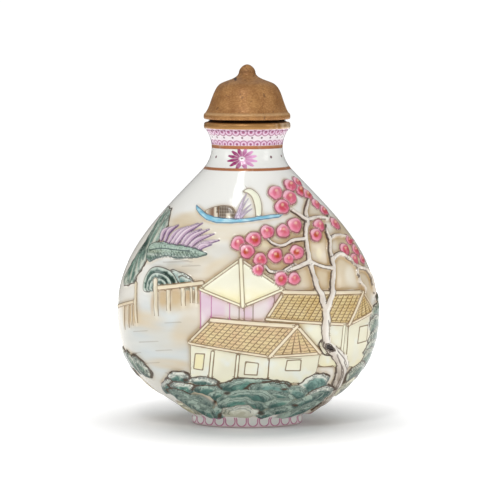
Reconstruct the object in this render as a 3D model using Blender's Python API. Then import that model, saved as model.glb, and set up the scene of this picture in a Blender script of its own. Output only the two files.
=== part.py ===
"""A moulded porcelain snuff bottle with a stopper, modelled at its real size in metres.

The bottle is one hollow porcelain casting: an oval foot, a flattened pear-shaped body with a landscape in low
relief, a round waisted neck and a flat lip. The domed stopper rests over the mouth on its cork.
+Z is up, the photographed face looks along -Y, and the origin is under the middle of the foot.
"""

import math

import bmesh
import bpy
import numpy as np

# The porcelain bottle, foot to lip, in metres
BODY_WIDTH = 0.0510
BODY_DEPTH = 0.0310
FOOT_WIDTH = 0.0218
FOOT_DEPTH = 0.0146
MOUTH_WIDTH = 0.0088
NECK_WALL = 0.00255
SHOULDER_FLARE = 0.00165
LIP_OVERHANG = 0.0015
FOOT_HEIGHT = 0.0016
LOWER_BODY_HEIGHT = 0.0207
UPPER_BODY_HEIGHT = 0.0278
NECK_HEIGHT = 0.0077
LIP_HEIGHT = 0.0017

# Walls, the recess under the foot, and the share of the chamber's lowest width that its floor keeps
BODY_WALL = 0.0024
FLOOR = 0.0022
FOOT_RING = 0.0016
FOOT_RECESS = 0.0009
EDGE_ROUNDING = 0.0004
FLOOR_CORNER = 0.8

# The stopper, as wide as the lip, and its cork
STOPPER_HEIGHT = 0.0109
STOPPER_GAP = 0.00045
CORK_LENGTH = 0.0056
CORK_SOCKET = 0.0009
CORK_TAPER = 0.0003
CLEARANCE = 0.0003

# How far the moulded landscape stands off the body
HILL_RELIEF = 0.0006
FENCE_RELIEF = 0.0004
WALL_RELIEF = 0.0005
ROOF_RELIEF = 0.0009
TREE_RELIEF = 0.0010
BLOSSOM_RELIEF = 0.0012
ROCK_RELIEF = 0.0011

# Fineness of the mesh: columns round the body, the share of them on the photographed face, rows up the body
COLUMNS = 88
FRONT_SHARE = 0.68
BODY_ROWS = 40
STOPPER_STEPS = 24

# Widths of the neck, each built on the mouth
NECK_WIDTH = MOUTH_WIDTH + 2 * NECK_WALL
SHOULDER_WIDTH = NECK_WIDTH + 2 * SHOULDER_FLARE
LIP_WIDTH = NECK_WIDTH + 2 * LIP_OVERHANG

# Heights of the bottle's stations, stacked from the foot
BELLY_Z = FOOT_HEIGHT + LOWER_BODY_HEIGHT
SHOULDER_Z = BELLY_Z + UPPER_BODY_HEIGHT
FLARE_Z = SHOULDER_Z + NECK_HEIGHT
LIP_Z = FLARE_Z + LIP_HEIGHT

# The landscape is drawn in millimetres for a body this wide and this high to its shoulder
DRAWN_WIDTH = 51.0
DRAWN_SHOULDER = 50.1

# One drawn millimetre in metres, across and up: the drawing grows with the body
ACROSS = BODY_WIDTH / DRAWN_WIDTH
UP = SHOULDER_Z / DRAWN_SHOULDER

# Stands in for the length of a line whose two ends fall together, so that nothing is divided by zero
TINY = 1e-18

# The eye that the drawing is laid out from, across, back and up in drawn millimetres
EYE = (0.0, -480.0, 79.5)


def clear_scene():
    for item in list(bpy.data.objects):
        bpy.data.objects.remove(item)


def bezier(points, steps):
    """A cubic curve through four control points, as an array of points."""
    p = np.asarray(points, float)
    t = np.linspace(0.0, 1.0, steps)[:, None]
    return (1 - t) ** 3 * p[0] + 3 * (1 - t) ** 2 * t * p[1] + 3 * (1 - t) * t**2 * p[2] + t**3 * p[3]


def outer_stations():
    """Half-width, half-depth and height up the outside, from the top of the foot to the lip's widest line."""
    body = (BODY_WIDTH / 2, BODY_DEPTH / 2)
    foot = (FOOT_WIDTH / 2, FOOT_DEPTH / 2)
    shoulder = SHOULDER_WIDTH / 2
    waist = NECK_WIDTH / 2
    flare = LIP_WIDTH / 2 - EDGE_ROUNDING
    lower = bezier(
        [
            (foot[0], foot[1], FOOT_HEIGHT),
            (foot[0] + 0.36 * (body[0] - foot[0]), foot[1] + 0.36 * (body[1] - foot[1]),
             FOOT_HEIGHT + 0.21 * LOWER_BODY_HEIGHT),
            (body[0], body[1], FOOT_HEIGHT + 0.34 * LOWER_BODY_HEIGHT),
            (body[0], body[1], BELLY_Z),
        ],
        160,
    )
    upper = bezier(
        [
            (body[0], body[1], BELLY_Z),
            (body[0], body[1], BELLY_Z + 0.41 * UPPER_BODY_HEIGHT),
            (shoulder + 0.5 * (body[0] - shoulder), shoulder + 0.5 * (body[1] - shoulder),
             BELLY_Z + 0.68 * UPPER_BODY_HEIGHT),
            (shoulder, shoulder, SHOULDER_Z),
        ],
        160,
    )
    neck = bezier(
        [
            (shoulder, shoulder, SHOULDER_Z),
            (0.95 * waist, 0.95 * waist, SHOULDER_Z + 0.31 * NECK_HEIGHT),
            (0.914 * waist, 0.914 * waist, SHOULDER_Z + 0.66 * NECK_HEIGHT),
            (flare, flare, FLARE_Z),
        ],
        80,
    )
    return np.vstack([lower, upper[1:], neck[1:]])


STATIONS = outer_stations()


def half_width(z):
    return np.interp(z, STATIONS[:, 2], STATIONS[:, 0])


def half_depth(z):
    return np.interp(z, STATIONS[:, 2], STATIONS[:, 1])


def slopes(z, step=0.0002):
    """How fast the half-width and the half-depth change with height."""
    wide = (half_width(z + step) - half_width(z - step)) / (2 * step)
    deep = (half_depth(z + step) - half_depth(z - step)) / (2 * step)
    return wide, deep


def girth(turn, wide, deep):
    """Distance along an oval section from its front to the angle turn, by Gauss-Legendre quadrature."""
    nodes, weights = np.polynomial.legendre.leggauss(16)
    angle = np.multiply.outer(np.asarray(turn, float) / 2, nodes + 1)
    wide = np.asarray(wide, float)[..., None]
    deep = np.asarray(deep, float)[..., None]
    speed = np.hypot(wide * np.cos(angle), deep * np.sin(angle))
    return np.asarray(turn, float) / 2 * (speed * weights).sum(-1)


def surface(turn, z):
    """The point of the smooth body at an angle from the front and a height."""
    return np.stack([half_width(z) * np.sin(turn), -half_depth(z) * np.cos(turn), z + 0 * turn], -1)


def seen(marks):
    """Angle and height where the line of sight through each drawn mark first meets the body.

    A mark is (across, up) in drawn millimetres, in the upright plane of the bottle's outline."""
    marks = np.atleast_2d(np.asarray(marks, float))
    start = np.stack([marks[:, 0] * ACROSS, np.zeros(len(marks)), marks[:, 1] * UP], -1)
    eye = np.array([EYE[0] * ACROSS, EYE[1] * ACROSS, EYE[2] * UP])
    near = np.zeros(len(marks))
    far = np.full(len(marks), BODY_DEPTH / -eye[1])
    for _ in range(40):
        middle = (near + far) / 2
        at = start + middle[:, None] * (eye - start)
        outside = np.hypot(at[:, 0] / half_width(at[:, 2]), at[:, 1] / half_depth(at[:, 2])) > 1
        far = np.where(outside, middle, far)
        near = np.where(outside, near, middle)
    at = start + near[:, None] * (eye - start)
    turn = np.arctan2(at[:, 0] / half_width(at[:, 2]), -at[:, 1] / half_depth(at[:, 2]))
    return turn, at[:, 2]


def smooth(value):
    """0 below 0, 1 above 1 and an S-shaped rise between them."""
    t = np.clip(value, 0.0, 1.0)
    return t * t * (3 - 2 * t)


class Skin:
    """Points of the body's skin, with what the drawing needs to know of each."""

    def __init__(self, turn, z, back=False):
        self.side = -1.0 if back else 1.0
        turn = np.where(back, turn - np.sign(turn + 1e-12) * math.pi, turn)
        self.place = surface(turn, z)
        self.flat = np.stack([girth(turn, half_width(z), half_depth(z)), z], -1)
        self.near = np.abs(turn) < 0.75 * math.pi
        self.unit = ACROSS

    def inside(self, marks):
        """Depth inside the outline through these marks, measured on the unrolled skin, negative outside."""
        turn, z = seen(marks)
        corners = np.stack([girth(turn, half_width(z), half_depth(z)), z], -1)
        nearest = np.full(len(self.flat), 1e9)
        crossings = np.zeros(len(self.flat), bool)
        for start, end in zip(corners, np.roll(corners, -1, axis=0)):
            along = end - start
            share = np.clip(((self.flat - start) @ along) / max(along @ along, TINY), 0, 1)
            gap = self.flat - start - share[:, None] * along
            nearest = np.minimum(nearest, np.hypot(gap[:, 0], gap[:, 1]))
            spans = (start[1] > self.flat[:, 1]) != (end[1] > self.flat[:, 1])
            rise = along[1] if along[1] else 1e-12
            cut = start[0] + (self.flat[:, 1] - start[1]) * along[0] / rise
            crossings ^= spans & (self.flat[:, 0] < cut)
        return np.where(self.near, np.where(crossings, nearest, -nearest), -1.0)

    def ribbon(self, path):
        """Depth inside a tapering strip along marks (across, up, width), measured through space."""
        path = np.asarray(path, float)
        centre = surface(*seen(path[:, :2]))
        half = path[:, 2] * self.unit / 2
        deepest = np.full(len(self.place), -1.0)
        for k in range(len(centre) - 1):
            along = centre[k + 1] - centre[k]
            share = np.clip(((self.place - centre[k]) @ along) / max(along @ along, TINY), 0, 1)
            gap = np.linalg.norm(self.place - centre[k] - share[:, None] * along, axis=1)
            deepest = np.maximum(deepest, half[k] + share * (half[k + 1] - half[k]) - gap)
        return np.where(self.near, deepest, -1.0)

    def ball(self, across, up, width):
        """Depth inside a ball centred on the skin, measured through space."""
        centre = surface(*seen([(across, up)]))[0]
        gap = np.linalg.norm(self.place - centre, axis=1)
        return np.where(self.near, width * self.unit / 2 - gap, -1.0)

    def lobe(self, across, up, wide, high, tilt=0.0):
        """How far into an oval lobe each point lies: 1 at its middle, 0 at its edge, negative outside."""
        turn, z = seen([(across, up)])
        middle = np.array([girth(turn, half_width(z), half_depth(z))[0], z[0]])
        gap = (self.flat - middle) / self.unit
        c, s = math.cos(math.radians(tilt)), math.sin(math.radians(tilt))
        reach = np.hypot((gap[:, 0] * c + gap[:, 1] * s) / wide, (gap[:, 1] * c - gap[:, 0] * s) / high)
        return np.where(self.near, 1 - reach, -1.0)


def plateau(depth, height, edge=0.0009):
    """A raised field whose side slopes over the width of one mesh cell."""
    return height * smooth(depth / edge + 0.5)


def swell(share, height):
    """A rounded lump that rises steeply from its edge."""
    return height * np.sqrt(np.clip(share * (2 - share), 0, 1))


# The photographed face: marks are (across, up) in drawn millimetres

# Each house: eave left, ridge left, ridge right, eave right, gable foot, and how far down its walls reach
HOUSES = [
    {"roof": [(3.7, 20.6), (6.7, 25.7), (22.1, 25.7), (19.6, 19.5), (24.2, 22.0)], "walls_down_to": 12.0},
    {"roof": [(-11.4, 16.0), (-6.7, 20.3), (9.9, 19.2), (4.4, 13.1), (14.0, 14.1)], "walls_down_to": 8.8},
]

# The pavilion: left corner, peak, right corner and front corner of its roof, and the foot of its walls
PAVILION_ROOF = [(-9.2, 26.3), (-1.2, 32.2), (6.8, 26.2), (-0.7, 23.0)]
PAVILION_WALLS_DOWN_TO = 18.8

# Stems and branches of the plum tree: across, up and width
TREE = [
    [(15.2, 4.6, 3.4), (17.1, 7.0, 3.1), (18.4, 10.0, 2.7), (17.9, 12.7, 2.7), (16.0, 14.9, 2.6),
     (15.2, 17.2, 1.9), (15.3, 20.6, 1.6), (15.4, 22.8, 1.9)],
    [(15.2, 22.8, 1.5), (13.7, 26.6, 1.2), (12.4, 30.8, 1.1), (11.6, 34.9, 1.0), (11.4, 39.4, 0.9),
     (11.5, 42.0, 0.8), (11.8, 44.6, 0.6)],
    [(15.7, 23.1, 1.4), (16.6, 27.3, 1.1), (16.6, 31.5, 1.1), (16.0, 35.8, 0.9), (17.5, 36.8, 0.7),
     (19.4, 36.3, 0.6)],
    [(16.7, 32.3, 0.9), (18.0, 33.3, 0.9), (19.7, 32.3, 0.9), (21.6, 30.7, 0.9), (23.2, 30.1, 0.8),
     (24.3, 27.6, 0.7)],
    [(11.8, 31.6, 1.0), (9.0, 30.4, 0.9), (6.8, 29.8, 0.8), (4.7, 29.8, 0.7), (3.6, 30.9, 0.6)],
    [(11.2, 36.2, 0.8), (8.8, 35.9, 0.8), (6.9, 34.9, 0.7), (5.2, 35.3, 0.6), (3.8, 36.3, 0.5)],
    [(11.5, 39.8, 0.9), (10.0, 40.9, 0.8), (8.2, 42.1, 0.6)],
    [(11.6, 39.9, 0.8), (14.0, 40.5, 0.8), (15.6, 40.3, 0.6), (14.4, 42.6, 0.5)],
    [(12.3, 31.8, 0.8), (14.3, 30.9, 0.7), (16.2, 30.6, 0.8)],
]

# Blossoms in sprays: across and up of each, with the spray's flower width
SPRAYS = [
    (3.0, [(-1.7, 35.4), (1.3, 36.2), (3.9, 37.6), (7.0, 37.7), (9.2, 39.0)]),
    (2.9, [(0.0, 33.8), (2.6, 32.2), (5.5, 33.0), (8.0, 32.3), (9.7, 33.6)]),
    (2.6, [(2.1, 30.1), (6.6, 28.4), (9.1, 28.5)]),
    (2.8, [(5.5, 45.3), (8.1, 46.7), (8.1, 44.2), (6.7, 42.4), (10.2, 45.9), (12.2, 44.9), (13.6, 43.3)]),
    (2.6, [(14.0, 38.9), (13.2, 37.0), (17.0, 39.3), (19.1, 34.2), (20.0, 36.0), (21.1, 32.6), (21.8, 34.2)]),
]

# Rocks and hills as overlapping lobes: across, up, half-width, half-height, tilt in degrees
NEAR_ROCKS = [
    (-12.9, 8.6, 3.0, 2.0, 8), (-8.2, 8.0, 3.4, 1.7, -6), (-3.4, 7.5, 4.4, 1.9, 4), (4.4, 7.2, 5.2, 2.2, -4),
    (13.2, 7.0, 3.6, 2.6, 14), (-14.2, 6.4, 2.4, 2.2, 30), (-9.6, 5.6, 4.0, 2.0, -12),
    (-2.0, 5.2, 5.6, 2.2, 6),
    (6.8, 5.0, 4.6, 2.3, -10), (12.6, 4.4, 4.6, 1.8, 28), (-7.6, 3.4, 4.2, 1.6, -24), (1.6, 3.6, 4.0, 1.8, 0),
    (8.8, 3.0, 4.4, 1.4, 16), (-1.4, 2.6, 3.8, 1.7, 0), (18.9, 8.4, 2.0, 3.6, -32),
]
FAR_HILLS = [
    (-17.0, 39.0, 1.8, 3.6, -24), (-18.8, 36.4, 1.7, 4.4, -24), (-20.6, 33.6, 1.6, 4.4, -20),
    (-22.4, 30.4, 1.5, 4.2, -16), (-13.4, 33.8, 6.2, 1.4, -6), (-17.8, 27.6, 3.2, 3.2, 0),
    (-14.0, 28.4, 3.4, 1.8, -18), (-11.6, 37.6, 5.2, 2.2, 26), (-21.4, 11.6, 1.6, 3.4, 28),
    (24.9, 19.6, 1.4, 4.4, 4), (24.4, 14.4, 1.4, 3.6, -12), (22.4, 10.4, 1.6, 3.6, -30),
]

# The fence over the water: posts as (across, top, bottom), rails as strips
FENCE_POSTS = [
    (-21.9, 27.3, 19.8), (-17.7, 27.6, 21.0), (-15.3, 26.0, 22.2), (-12.5, 26.3, 22.9), (-10.5, 26.6, 23.3),
]
FENCE_RAILS = [[(-17.7, 26.6, 0.9), (-9.3, 27.4, 0.9)], [(-24.6, 23.6, 0.8), (-21.9, 24.3, 0.8)]]
POST_WIDTH = 0.8

# The boat: its hull as a strip, and its cabin and sail as lobes
BOAT_HULL = [(-9.8, 42.7, 0.7), (-8.3, 40.6, 1.3), (-4.6, 39.4, 1.1), (1.4, 39.7, 1.0), (6.8, 40.7, 0.5)]
BOAT_TOP = [(-4.5, 41.2, 2.5, 1.8, 0), (1.4, 42.2, 1.0, 3.0, 12)]

# The plainer scene on the other face, seen from behind
BACK_HOUSE = {
    "roof": [(-6.4, 17.0), (-3.4, 21.6), (11.2, 21.6), (8.0, 16.0), (13.2, 17.4)],
    "walls_down_to": 10.4,
}
BACK_TREE = [
    [(-13.2, 5.6, 3.0), (-14.6, 10.0, 2.4), (-13.4, 15.0, 1.9), (-14.4, 22.0, 1.6), (-12.6, 29.0, 1.2),
     (-13.4, 35.0, 0.9)],
    [(-14.2, 21.0, 1.2), (-18.4, 26.0, 1.0), (-19.4, 31.0, 0.8)],
    [(-12.8, 28.0, 1.1), (-8.6, 31.4, 0.9), (-4.6, 32.0, 0.7)],
]
BACK_SPRAYS = [
    (3.0, [(-18.6, 32.6), (-20.8, 29.6), (-16.0, 30.4)]),
    (3.0, [(-13.0, 37.2), (-15.6, 35.0), (-10.8, 35.2)]),
    (2.9, [(-3.6, 33.4), (-6.4, 34.2), (-6.0, 30.2), (-1.2, 31.6)]),
]
BACK_ROCKS = [
    (-11.0, 7.6, 5.0, 2.4, -8), (0.4, 7.8, 6.4, 2.4, 4), (11.6, 7.8, 5.4, 2.4, 8), (-16.0, 6.6, 3.4, 2.6, 30),
    (-5.4, 4.8, 6.0, 2.2, -6), (6.6, 4.6, 6.0, 2.2, 8), (0.6, 2.9, 4.6, 1.6, 0), (17.4, 8.4, 3.0, 3.0, -30),
]
BACK_HILLS = [
    (16.6, 34.4, 2.2, 4.8, 18), (19.6, 31.0, 2.0, 5.0, 16), (12.6, 33.4, 3.0, 2.4, 0),
    (21.8, 25.0, 1.6, 4.0, 10),
    (3.6, 33.0, 4.4, 1.5, 4), (-22.0, 20.0, 1.6, 4.6, -6),
]


def house_relief(skin, house):
    """Walls as one low field, and the roof as a higher one that rises to its ridge."""
    eave_left, ridge_left, ridge_right, eave_right, gable = house["roof"]
    foot = house["walls_down_to"]
    walls = skin.inside([eave_left, eave_right, gable, (gable[0], foot), (eave_left[0] + 0.4, foot)])
    panel = skin.inside([eave_left, ridge_left, ridge_right, eave_right])
    end = skin.inside([eave_right, ridge_right, gable])
    roof = np.maximum(plateau(panel, ROOF_RELIEF), plateau(end, ROOF_RELIEF))
    return np.maximum(plateau(walls, WALL_RELIEF), roof)


def pavilion_relief(skin):
    left, peak, right, front = PAVILION_ROOF
    foot = PAVILION_WALLS_DOWN_TO
    walls = skin.inside([left, front, right, (right[0], foot), (left[0] + 0.2, foot)])
    roof = skin.inside(PAVILION_ROOF)
    ridge = skin.ribbon([(*peak, 1.2), (*front, 1.4)])
    return np.maximum.reduce([
        plateau(walls, WALL_RELIEF), plateau(roof, 0.8 * ROOF_RELIEF), plateau(ridge, ROOF_RELIEF),
    ])


def lobes_relief(skin, lobes, height, depth_step=0.0):
    """Each later lobe lies a little further forward than the one before it."""
    relief = np.zeros(len(skin.place))
    for order, lobe in enumerate(lobes):
        share = skin.lobe(*lobe)
        forward = height * (0.75 + depth_step * order / len(lobes))
        relief = np.maximum(relief, forward * np.sqrt(np.clip(share * 1.6, 0, 1)))
    return relief


def tree_relief(skin, branches, sprays):
    relief = np.zeros(len(skin.place))
    for path in branches:
        width = max(mark[2] for mark in path) * skin.unit
        depth = skin.ribbon(path)
        relief = np.maximum(relief, TREE_RELIEF * np.sqrt(np.clip(2.2 * depth / width, 0, 1)))
    for width, flowers in sprays:
        for flower in flowers:
            depth = skin.ball(*flower, width)
            relief = np.maximum(relief, swell(2 * depth / (width * skin.unit), BLOSSOM_RELIEF))
    return relief


def boat_and_fence_relief(skin):
    shapes = [plateau(skin.ribbon(BOAT_HULL), WALL_RELIEF)]
    shapes += [swell(skin.lobe(*lobe), WALL_RELIEF) for lobe in BOAT_TOP]
    shapes += [plateau(skin.ribbon(rail), FENCE_RELIEF) for rail in FENCE_RAILS]
    for across, top, bottom in FENCE_POSTS:
        post = skin.ribbon([(across, top, POST_WIDTH), (across, bottom, POST_WIDTH)])
        shapes.append(plateau(post, FENCE_RELIEF))
    return np.maximum.reduce(shapes)


def landscape(turn, z):
    """Height of the moulded relief over the smooth body, at angles from the front and heights."""
    front = Skin(turn, z)
    back = Skin(turn, z, back=True)
    relief = np.maximum.reduce([
        lobes_relief(front, FAR_HILLS, HILL_RELIEF),
        boat_and_fence_relief(front),
        pavilion_relief(front),
        *[house_relief(front, house) for house in HOUSES],
        tree_relief(front, TREE, SPRAYS),
        lobes_relief(front, NEAR_ROCKS, ROCK_RELIEF, 0.4),
        lobes_relief(back, BACK_HILLS, HILL_RELIEF),
        house_relief(back, BACK_HOUSE),
        tree_relief(back, BACK_TREE, BACK_SPRAYS),
        lobes_relief(back, BACK_ROCKS, ROCK_RELIEF, 0.4),
    ])
    fade = smooth((z - FOOT_HEIGHT) / 0.0010) * smooth((SHOULDER_Z - z) / 0.0020)
    return relief * fade


def column_angles(count):
    """Angles round the bottle from -180 to 180 degrees, closer together on the photographed face."""
    front = round(count * FRONT_SHARE / 2) * 2
    back = count - front
    right_angle = math.pi / 2
    across_front = np.linspace(-right_angle, right_angle, front, endpoint=False)
    across_back = np.linspace(right_angle, 3 * right_angle, back, endpoint=False)
    return np.concatenate([across_front, across_back])


ANGLES = column_angles(COLUMNS)


def oval_ring(mesh, wide, deep, z, skip=1):
    """A ring of vertices on an oval, at every skip-th column."""
    turns = ANGLES[::skip]
    return [mesh.verts.new((wide * math.sin(a), -deep * math.cos(a), z)) for a in turns]


def mean_relief(turn, z, turn_step, z_step):
    """Mean height of the landscape over the cell round each point, which keeps the mesh's forms smooth."""
    offsets = (-0.55, 0.0, 0.55)
    samples = [landscape(turn + i * turn_step, z + j * z_step) for i in offsets for j in offsets]
    return np.mean(samples, axis=0)


def outward(turn, z):
    """The unit normal of the smooth body."""
    place = surface(turn, z)
    wide, deep = half_width(z), half_depth(z)
    wide_slope, deep_slope = slopes(z)
    normal = np.stack([
        place[:, 0] / wide**2,
        place[:, 1] / deep**2,
        -(place[:, 0] ** 2) * wide_slope / wide**3 - place[:, 1] ** 2 * deep_slope / deep**3,
    ], -1)
    return normal / np.linalg.norm(normal, axis=1)[:, None]


def relief_rings(mesh):
    """The rows of the body, evenly spaced up its side and raised off the smooth form by the landscape."""
    line = STATIONS[(STATIONS[:, 2] >= FOOT_HEIGHT) & (STATIONS[:, 2] <= SHOULDER_Z + 1e-9)]
    steps = np.linalg.norm(np.diff(line, axis=0), axis=1)
    travelled = np.concatenate([[0.0], np.cumsum(steps)])
    heights = np.interp(np.linspace(0, travelled[-1], BODY_ROWS + 1), travelled, line[:, 2])
    turns = (ANGLES + math.pi) % (2 * math.pi) - math.pi
    turn = np.tile(turns, len(heights))
    z = np.repeat(heights, len(turns))
    turn_step = np.tile(np.gradient(ANGLES), len(heights))
    z_step = np.repeat(np.gradient(heights), len(turns))
    relief = mean_relief(turn, z, turn_step, z_step)
    points = surface(turn, z) + outward(turn, z) * relief[:, None]
    return [[mesh.verts.new(point) for point in row] for row in points.reshape(len(heights), -1, 3)]


def join_rings(mesh, lower, upper):
    """Quads between rings of one count, or three triangles a pair where one has twice the vertices."""
    if len(lower) == len(upper):
        for k in range(len(lower)):
            n = (k + 1) % len(lower)
            mesh.faces.new((lower[k], lower[n], upper[n], upper[k]))
        return
    fine, coarse = (lower, upper) if len(lower) > len(upper) else (upper, lower)
    for k in range(len(coarse)):
        here, there = coarse[k], coarse[(k + 1) % len(coarse)]
        first, middle, last = fine[2 * k], fine[2 * k + 1], fine[(2 * k + 2) % len(fine)]
        mesh.faces.new((first, middle, here))
        mesh.faces.new((middle, there, here))
        mesh.faces.new((middle, last, there))


def close_ring(mesh, ring, z):
    """A fan from a ring to a point on the axis."""
    pole = mesh.verts.new((0, 0, z))
    for k in range(len(ring)):
        mesh.faces.new((ring[k], ring[(k + 1) % len(ring)], pole))


def chamber_rings(mesh):
    """The inside, from the floor to the mouth: the body less its wall, then the straight bore of the neck."""
    bore = MOUTH_WIDTH / 2
    floor_z = FOOT_RECESS + FLOOR
    rings = []
    for share in (0.0, 0.04, 0.12, 0.24, 0.38, 0.54, 0.70, 0.84, 0.94):
        z = floor_z + share * (SHOULDER_Z - floor_z)
        wide_slope, deep_slope = slopes(max(z, FOOT_HEIGHT + 0.001))
        wide = half_width(z) - BODY_WALL * math.hypot(1, wide_slope)
        deep = half_depth(z) - BODY_WALL * math.hypot(1, deep_slope)
        corner = FLOOR_CORNER if share == 0.0 else 1.0
        rings.append(oval_ring(mesh, corner * max(wide, bore), corner * max(deep, bore), z, 4))
    rings.append(oval_ring(mesh, bore, bore, SHOULDER_Z + 0.1 * NECK_HEIGHT, 4))
    rings.append(oval_ring(mesh, bore, bore, LIP_Z - EDGE_ROUNDING / 2, 4))
    rings.append(oval_ring(mesh, bore + EDGE_ROUNDING / 2, bore + EDGE_ROUNDING / 2, LIP_Z, 4))
    return rings


def neck_rings(mesh):
    """The outside above the relief: up the neck, round the lip and in across its flat top."""
    neck = STATIONS[STATIONS[:, 2] > SHOULDER_Z + 1e-9]
    rings = []
    for share in (0.14, 0.28, 0.44, 0.62, 0.80, 1.0):
        wide, deep, z = neck[round(share * (len(neck) - 1))]
        rings.append(oval_ring(mesh, wide, deep, z, 2))
    lip = LIP_WIDTH / 2
    for inset, share in ((0.0, 0.45), (0.0, 0.65), (EDGE_ROUNDING, 1.0)):
        rings.append(oval_ring(mesh, lip - inset, lip - inset, FLARE_Z + share * LIP_HEIGHT, 2))
    return rings


def foot_rings(mesh):
    """Down the side of the foot, across its flat ring and up into the recess under it."""
    wide, deep = FOOT_WIDTH / 2, FOOT_DEPTH / 2
    rounding = EDGE_ROUNDING / 2
    levels = [
        (0.0, 0.4 * FOOT_HEIGHT), (0.0, rounding), (rounding, 0.0), (FOOT_RING, 0.0),
        (FOOT_RING + rounding, FOOT_RECESS),
    ]
    return [oval_ring(mesh, wide - inset, deep - inset, z, 2) for inset, z in levels]


def add_object(name, mesh, material, sharp_degrees=35):
    """A smooth-shaded object from a finished bmesh."""
    bmesh.ops.recalc_face_normals(mesh, faces=mesh.faces)
    data = bpy.data.meshes.new(name)
    mesh.to_mesh(data)
    mesh.free()
    data.shade_smooth()
    data.set_sharp_from_angle(angle=math.radians(sharp_degrees))
    data.materials.append(material)
    item = bpy.data.objects.new(name, data)
    bpy.context.scene.collection.objects.link(item)
    return item


def finish_of(name, colour, roughness, metallic=0.0):
    """A plain Principled material."""
    material = bpy.data.materials.new(name)
    material.use_nodes = True
    shader = material.node_tree.nodes["Principled BSDF"]
    shader.inputs["Base Color"].default_value = (*colour, 1.0)
    shader.inputs["Roughness"].default_value = roughness
    shader.inputs["Metallic"].default_value = metallic
    return material


def make_bottle():
    """One closed skin: inside, lip, neck, landscape, foot and the recess under it."""
    mesh = bmesh.new()
    chamber = chamber_rings(mesh)
    neck = neck_rings(mesh)
    body = relief_rings(mesh)
    foot = foot_rings(mesh)
    skin = chamber + neck[::-1] + body[::-1] + foot
    for lower, upper in zip(skin, skin[1:]):
        join_rings(mesh, lower, upper)
    close_ring(mesh, chamber[0], FOOT_RECESS + FLOOR)
    close_ring(mesh, foot[-1], FOOT_RECESS)
    bmesh.ops.triangulate(mesh, faces=mesh.faces, quad_method="SHORT_EDGE")
    porcelain = finish_of("enamelled_porcelain", (0.78, 0.77, 0.72), 0.15)
    return add_object("bottle", mesh, porcelain)


def turned(name, outline, material):
    """A solid of revolution from an outline of (radius, height) pairs that starts and ends on the axis."""
    mesh = bmesh.new()
    points = [mesh.verts.new((radius, 0, z)) for radius, z in outline]
    edges = [mesh.edges.new(pair) for pair in zip(points, points[1:])]
    bmesh.ops.spin(mesh, geom=points + edges, cent=(0, 0, 0), axis=(0, 0, 1), angle=2 * math.pi,
                   steps=STOPPER_STEPS, use_merge=True)
    bmesh.ops.remove_doubles(mesh, verts=mesh.verts, dist=1e-6)
    return add_object(name, mesh, material)


def stopper_outline():
    """Knob, dome, flared rim, flat underside and the shallow socket that the cork sits in."""
    rim = LIP_WIDTH / 2
    high = STOPPER_HEIGHT
    crown = bezier([(0.0, high), (0.14 * rim, high), (0.19 * rim, 0.93 * high), (0.19 * rim, 0.87 * high)], 4)
    swoop = bezier([(0.19 * rim, 0.87 * high), (0.21 * rim, 0.70 * high), (0.50 * rim, 0.72 * high),
                    (0.67 * rim, 0.60 * high)], 6)
    dome = bezier([(0.67 * rim, 0.60 * high), (0.88 * rim, 0.45 * high), (0.83 * rim, 0.22 * high),
                   (0.955 * rim, 0.12 * high)], 6)
    socket = MOUTH_WIDTH / 2
    outline = [*crown, *swoop[1:], *dome[1:]]
    outline += [(rim, 0.075 * high), (rim, 0.02 * high), (rim - EDGE_ROUNDING / 2, 0.0)]
    outline += [(socket, 0.0), (socket, CORK_SOCKET), (0.0, CORK_SOCKET)]
    return outline


def make_stopper():
    gilding = finish_of("worn_gilding", (0.44, 0.25, 0.10), 0.45, 0.6)
    stopper = turned("stopper", stopper_outline(), gilding)
    stopper.location.z = LIP_Z + STOPPER_GAP
    return stopper


def make_cork():
    """A slightly tapered plug that fills the mouth and reaches up into the stopper's socket."""
    radius = MOUTH_WIDTH / 2 - CLEARANCE
    top = STOPPER_GAP + CORK_SOCKET - CLEARANCE
    outline = [(0.0, top), (radius, top), (radius, 0.0), (radius - CORK_TAPER, top - CORK_LENGTH),
               (0.0, top - CORK_LENGTH)]
    bark = finish_of("cork_bark", (0.30, 0.19, 0.10), 0.9)
    cork = turned("cork", outline, bark)
    cork.location.z = LIP_Z
    return cork


clear_scene()
make_bottle()
make_stopper()
make_cork()
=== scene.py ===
# %% [markdown]
# # A moulded and painted porcelain snuff bottle
#
# The bottle is a flattened pear, 6 cm tall, cast in white porcelain. A landscape stands off its faces in
# low relief and is painted over the glaze in bright enamels. A gilt stopper closes it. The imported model
# gives the sizes. Everything here is a finer skin over it, worked out with numpy.

# %% Load the fixed frame
import math

import bpy
import numpy as np
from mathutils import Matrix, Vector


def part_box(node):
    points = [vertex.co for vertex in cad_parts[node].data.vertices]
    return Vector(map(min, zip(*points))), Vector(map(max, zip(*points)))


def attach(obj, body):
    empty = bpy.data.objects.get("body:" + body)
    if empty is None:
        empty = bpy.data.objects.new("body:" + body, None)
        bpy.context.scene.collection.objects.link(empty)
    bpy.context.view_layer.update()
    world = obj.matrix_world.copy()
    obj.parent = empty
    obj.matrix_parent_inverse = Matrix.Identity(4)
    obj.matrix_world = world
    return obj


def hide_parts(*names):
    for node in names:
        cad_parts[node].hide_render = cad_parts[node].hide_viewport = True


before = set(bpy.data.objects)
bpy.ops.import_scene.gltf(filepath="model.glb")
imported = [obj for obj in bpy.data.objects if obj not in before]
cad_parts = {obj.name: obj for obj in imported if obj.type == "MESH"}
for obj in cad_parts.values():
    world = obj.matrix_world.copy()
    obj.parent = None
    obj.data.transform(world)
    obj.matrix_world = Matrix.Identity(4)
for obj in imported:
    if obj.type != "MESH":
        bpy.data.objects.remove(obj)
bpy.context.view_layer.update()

bottle_low, bottle_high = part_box("bottle")
stopper_low, stopper_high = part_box("stopper")
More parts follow.
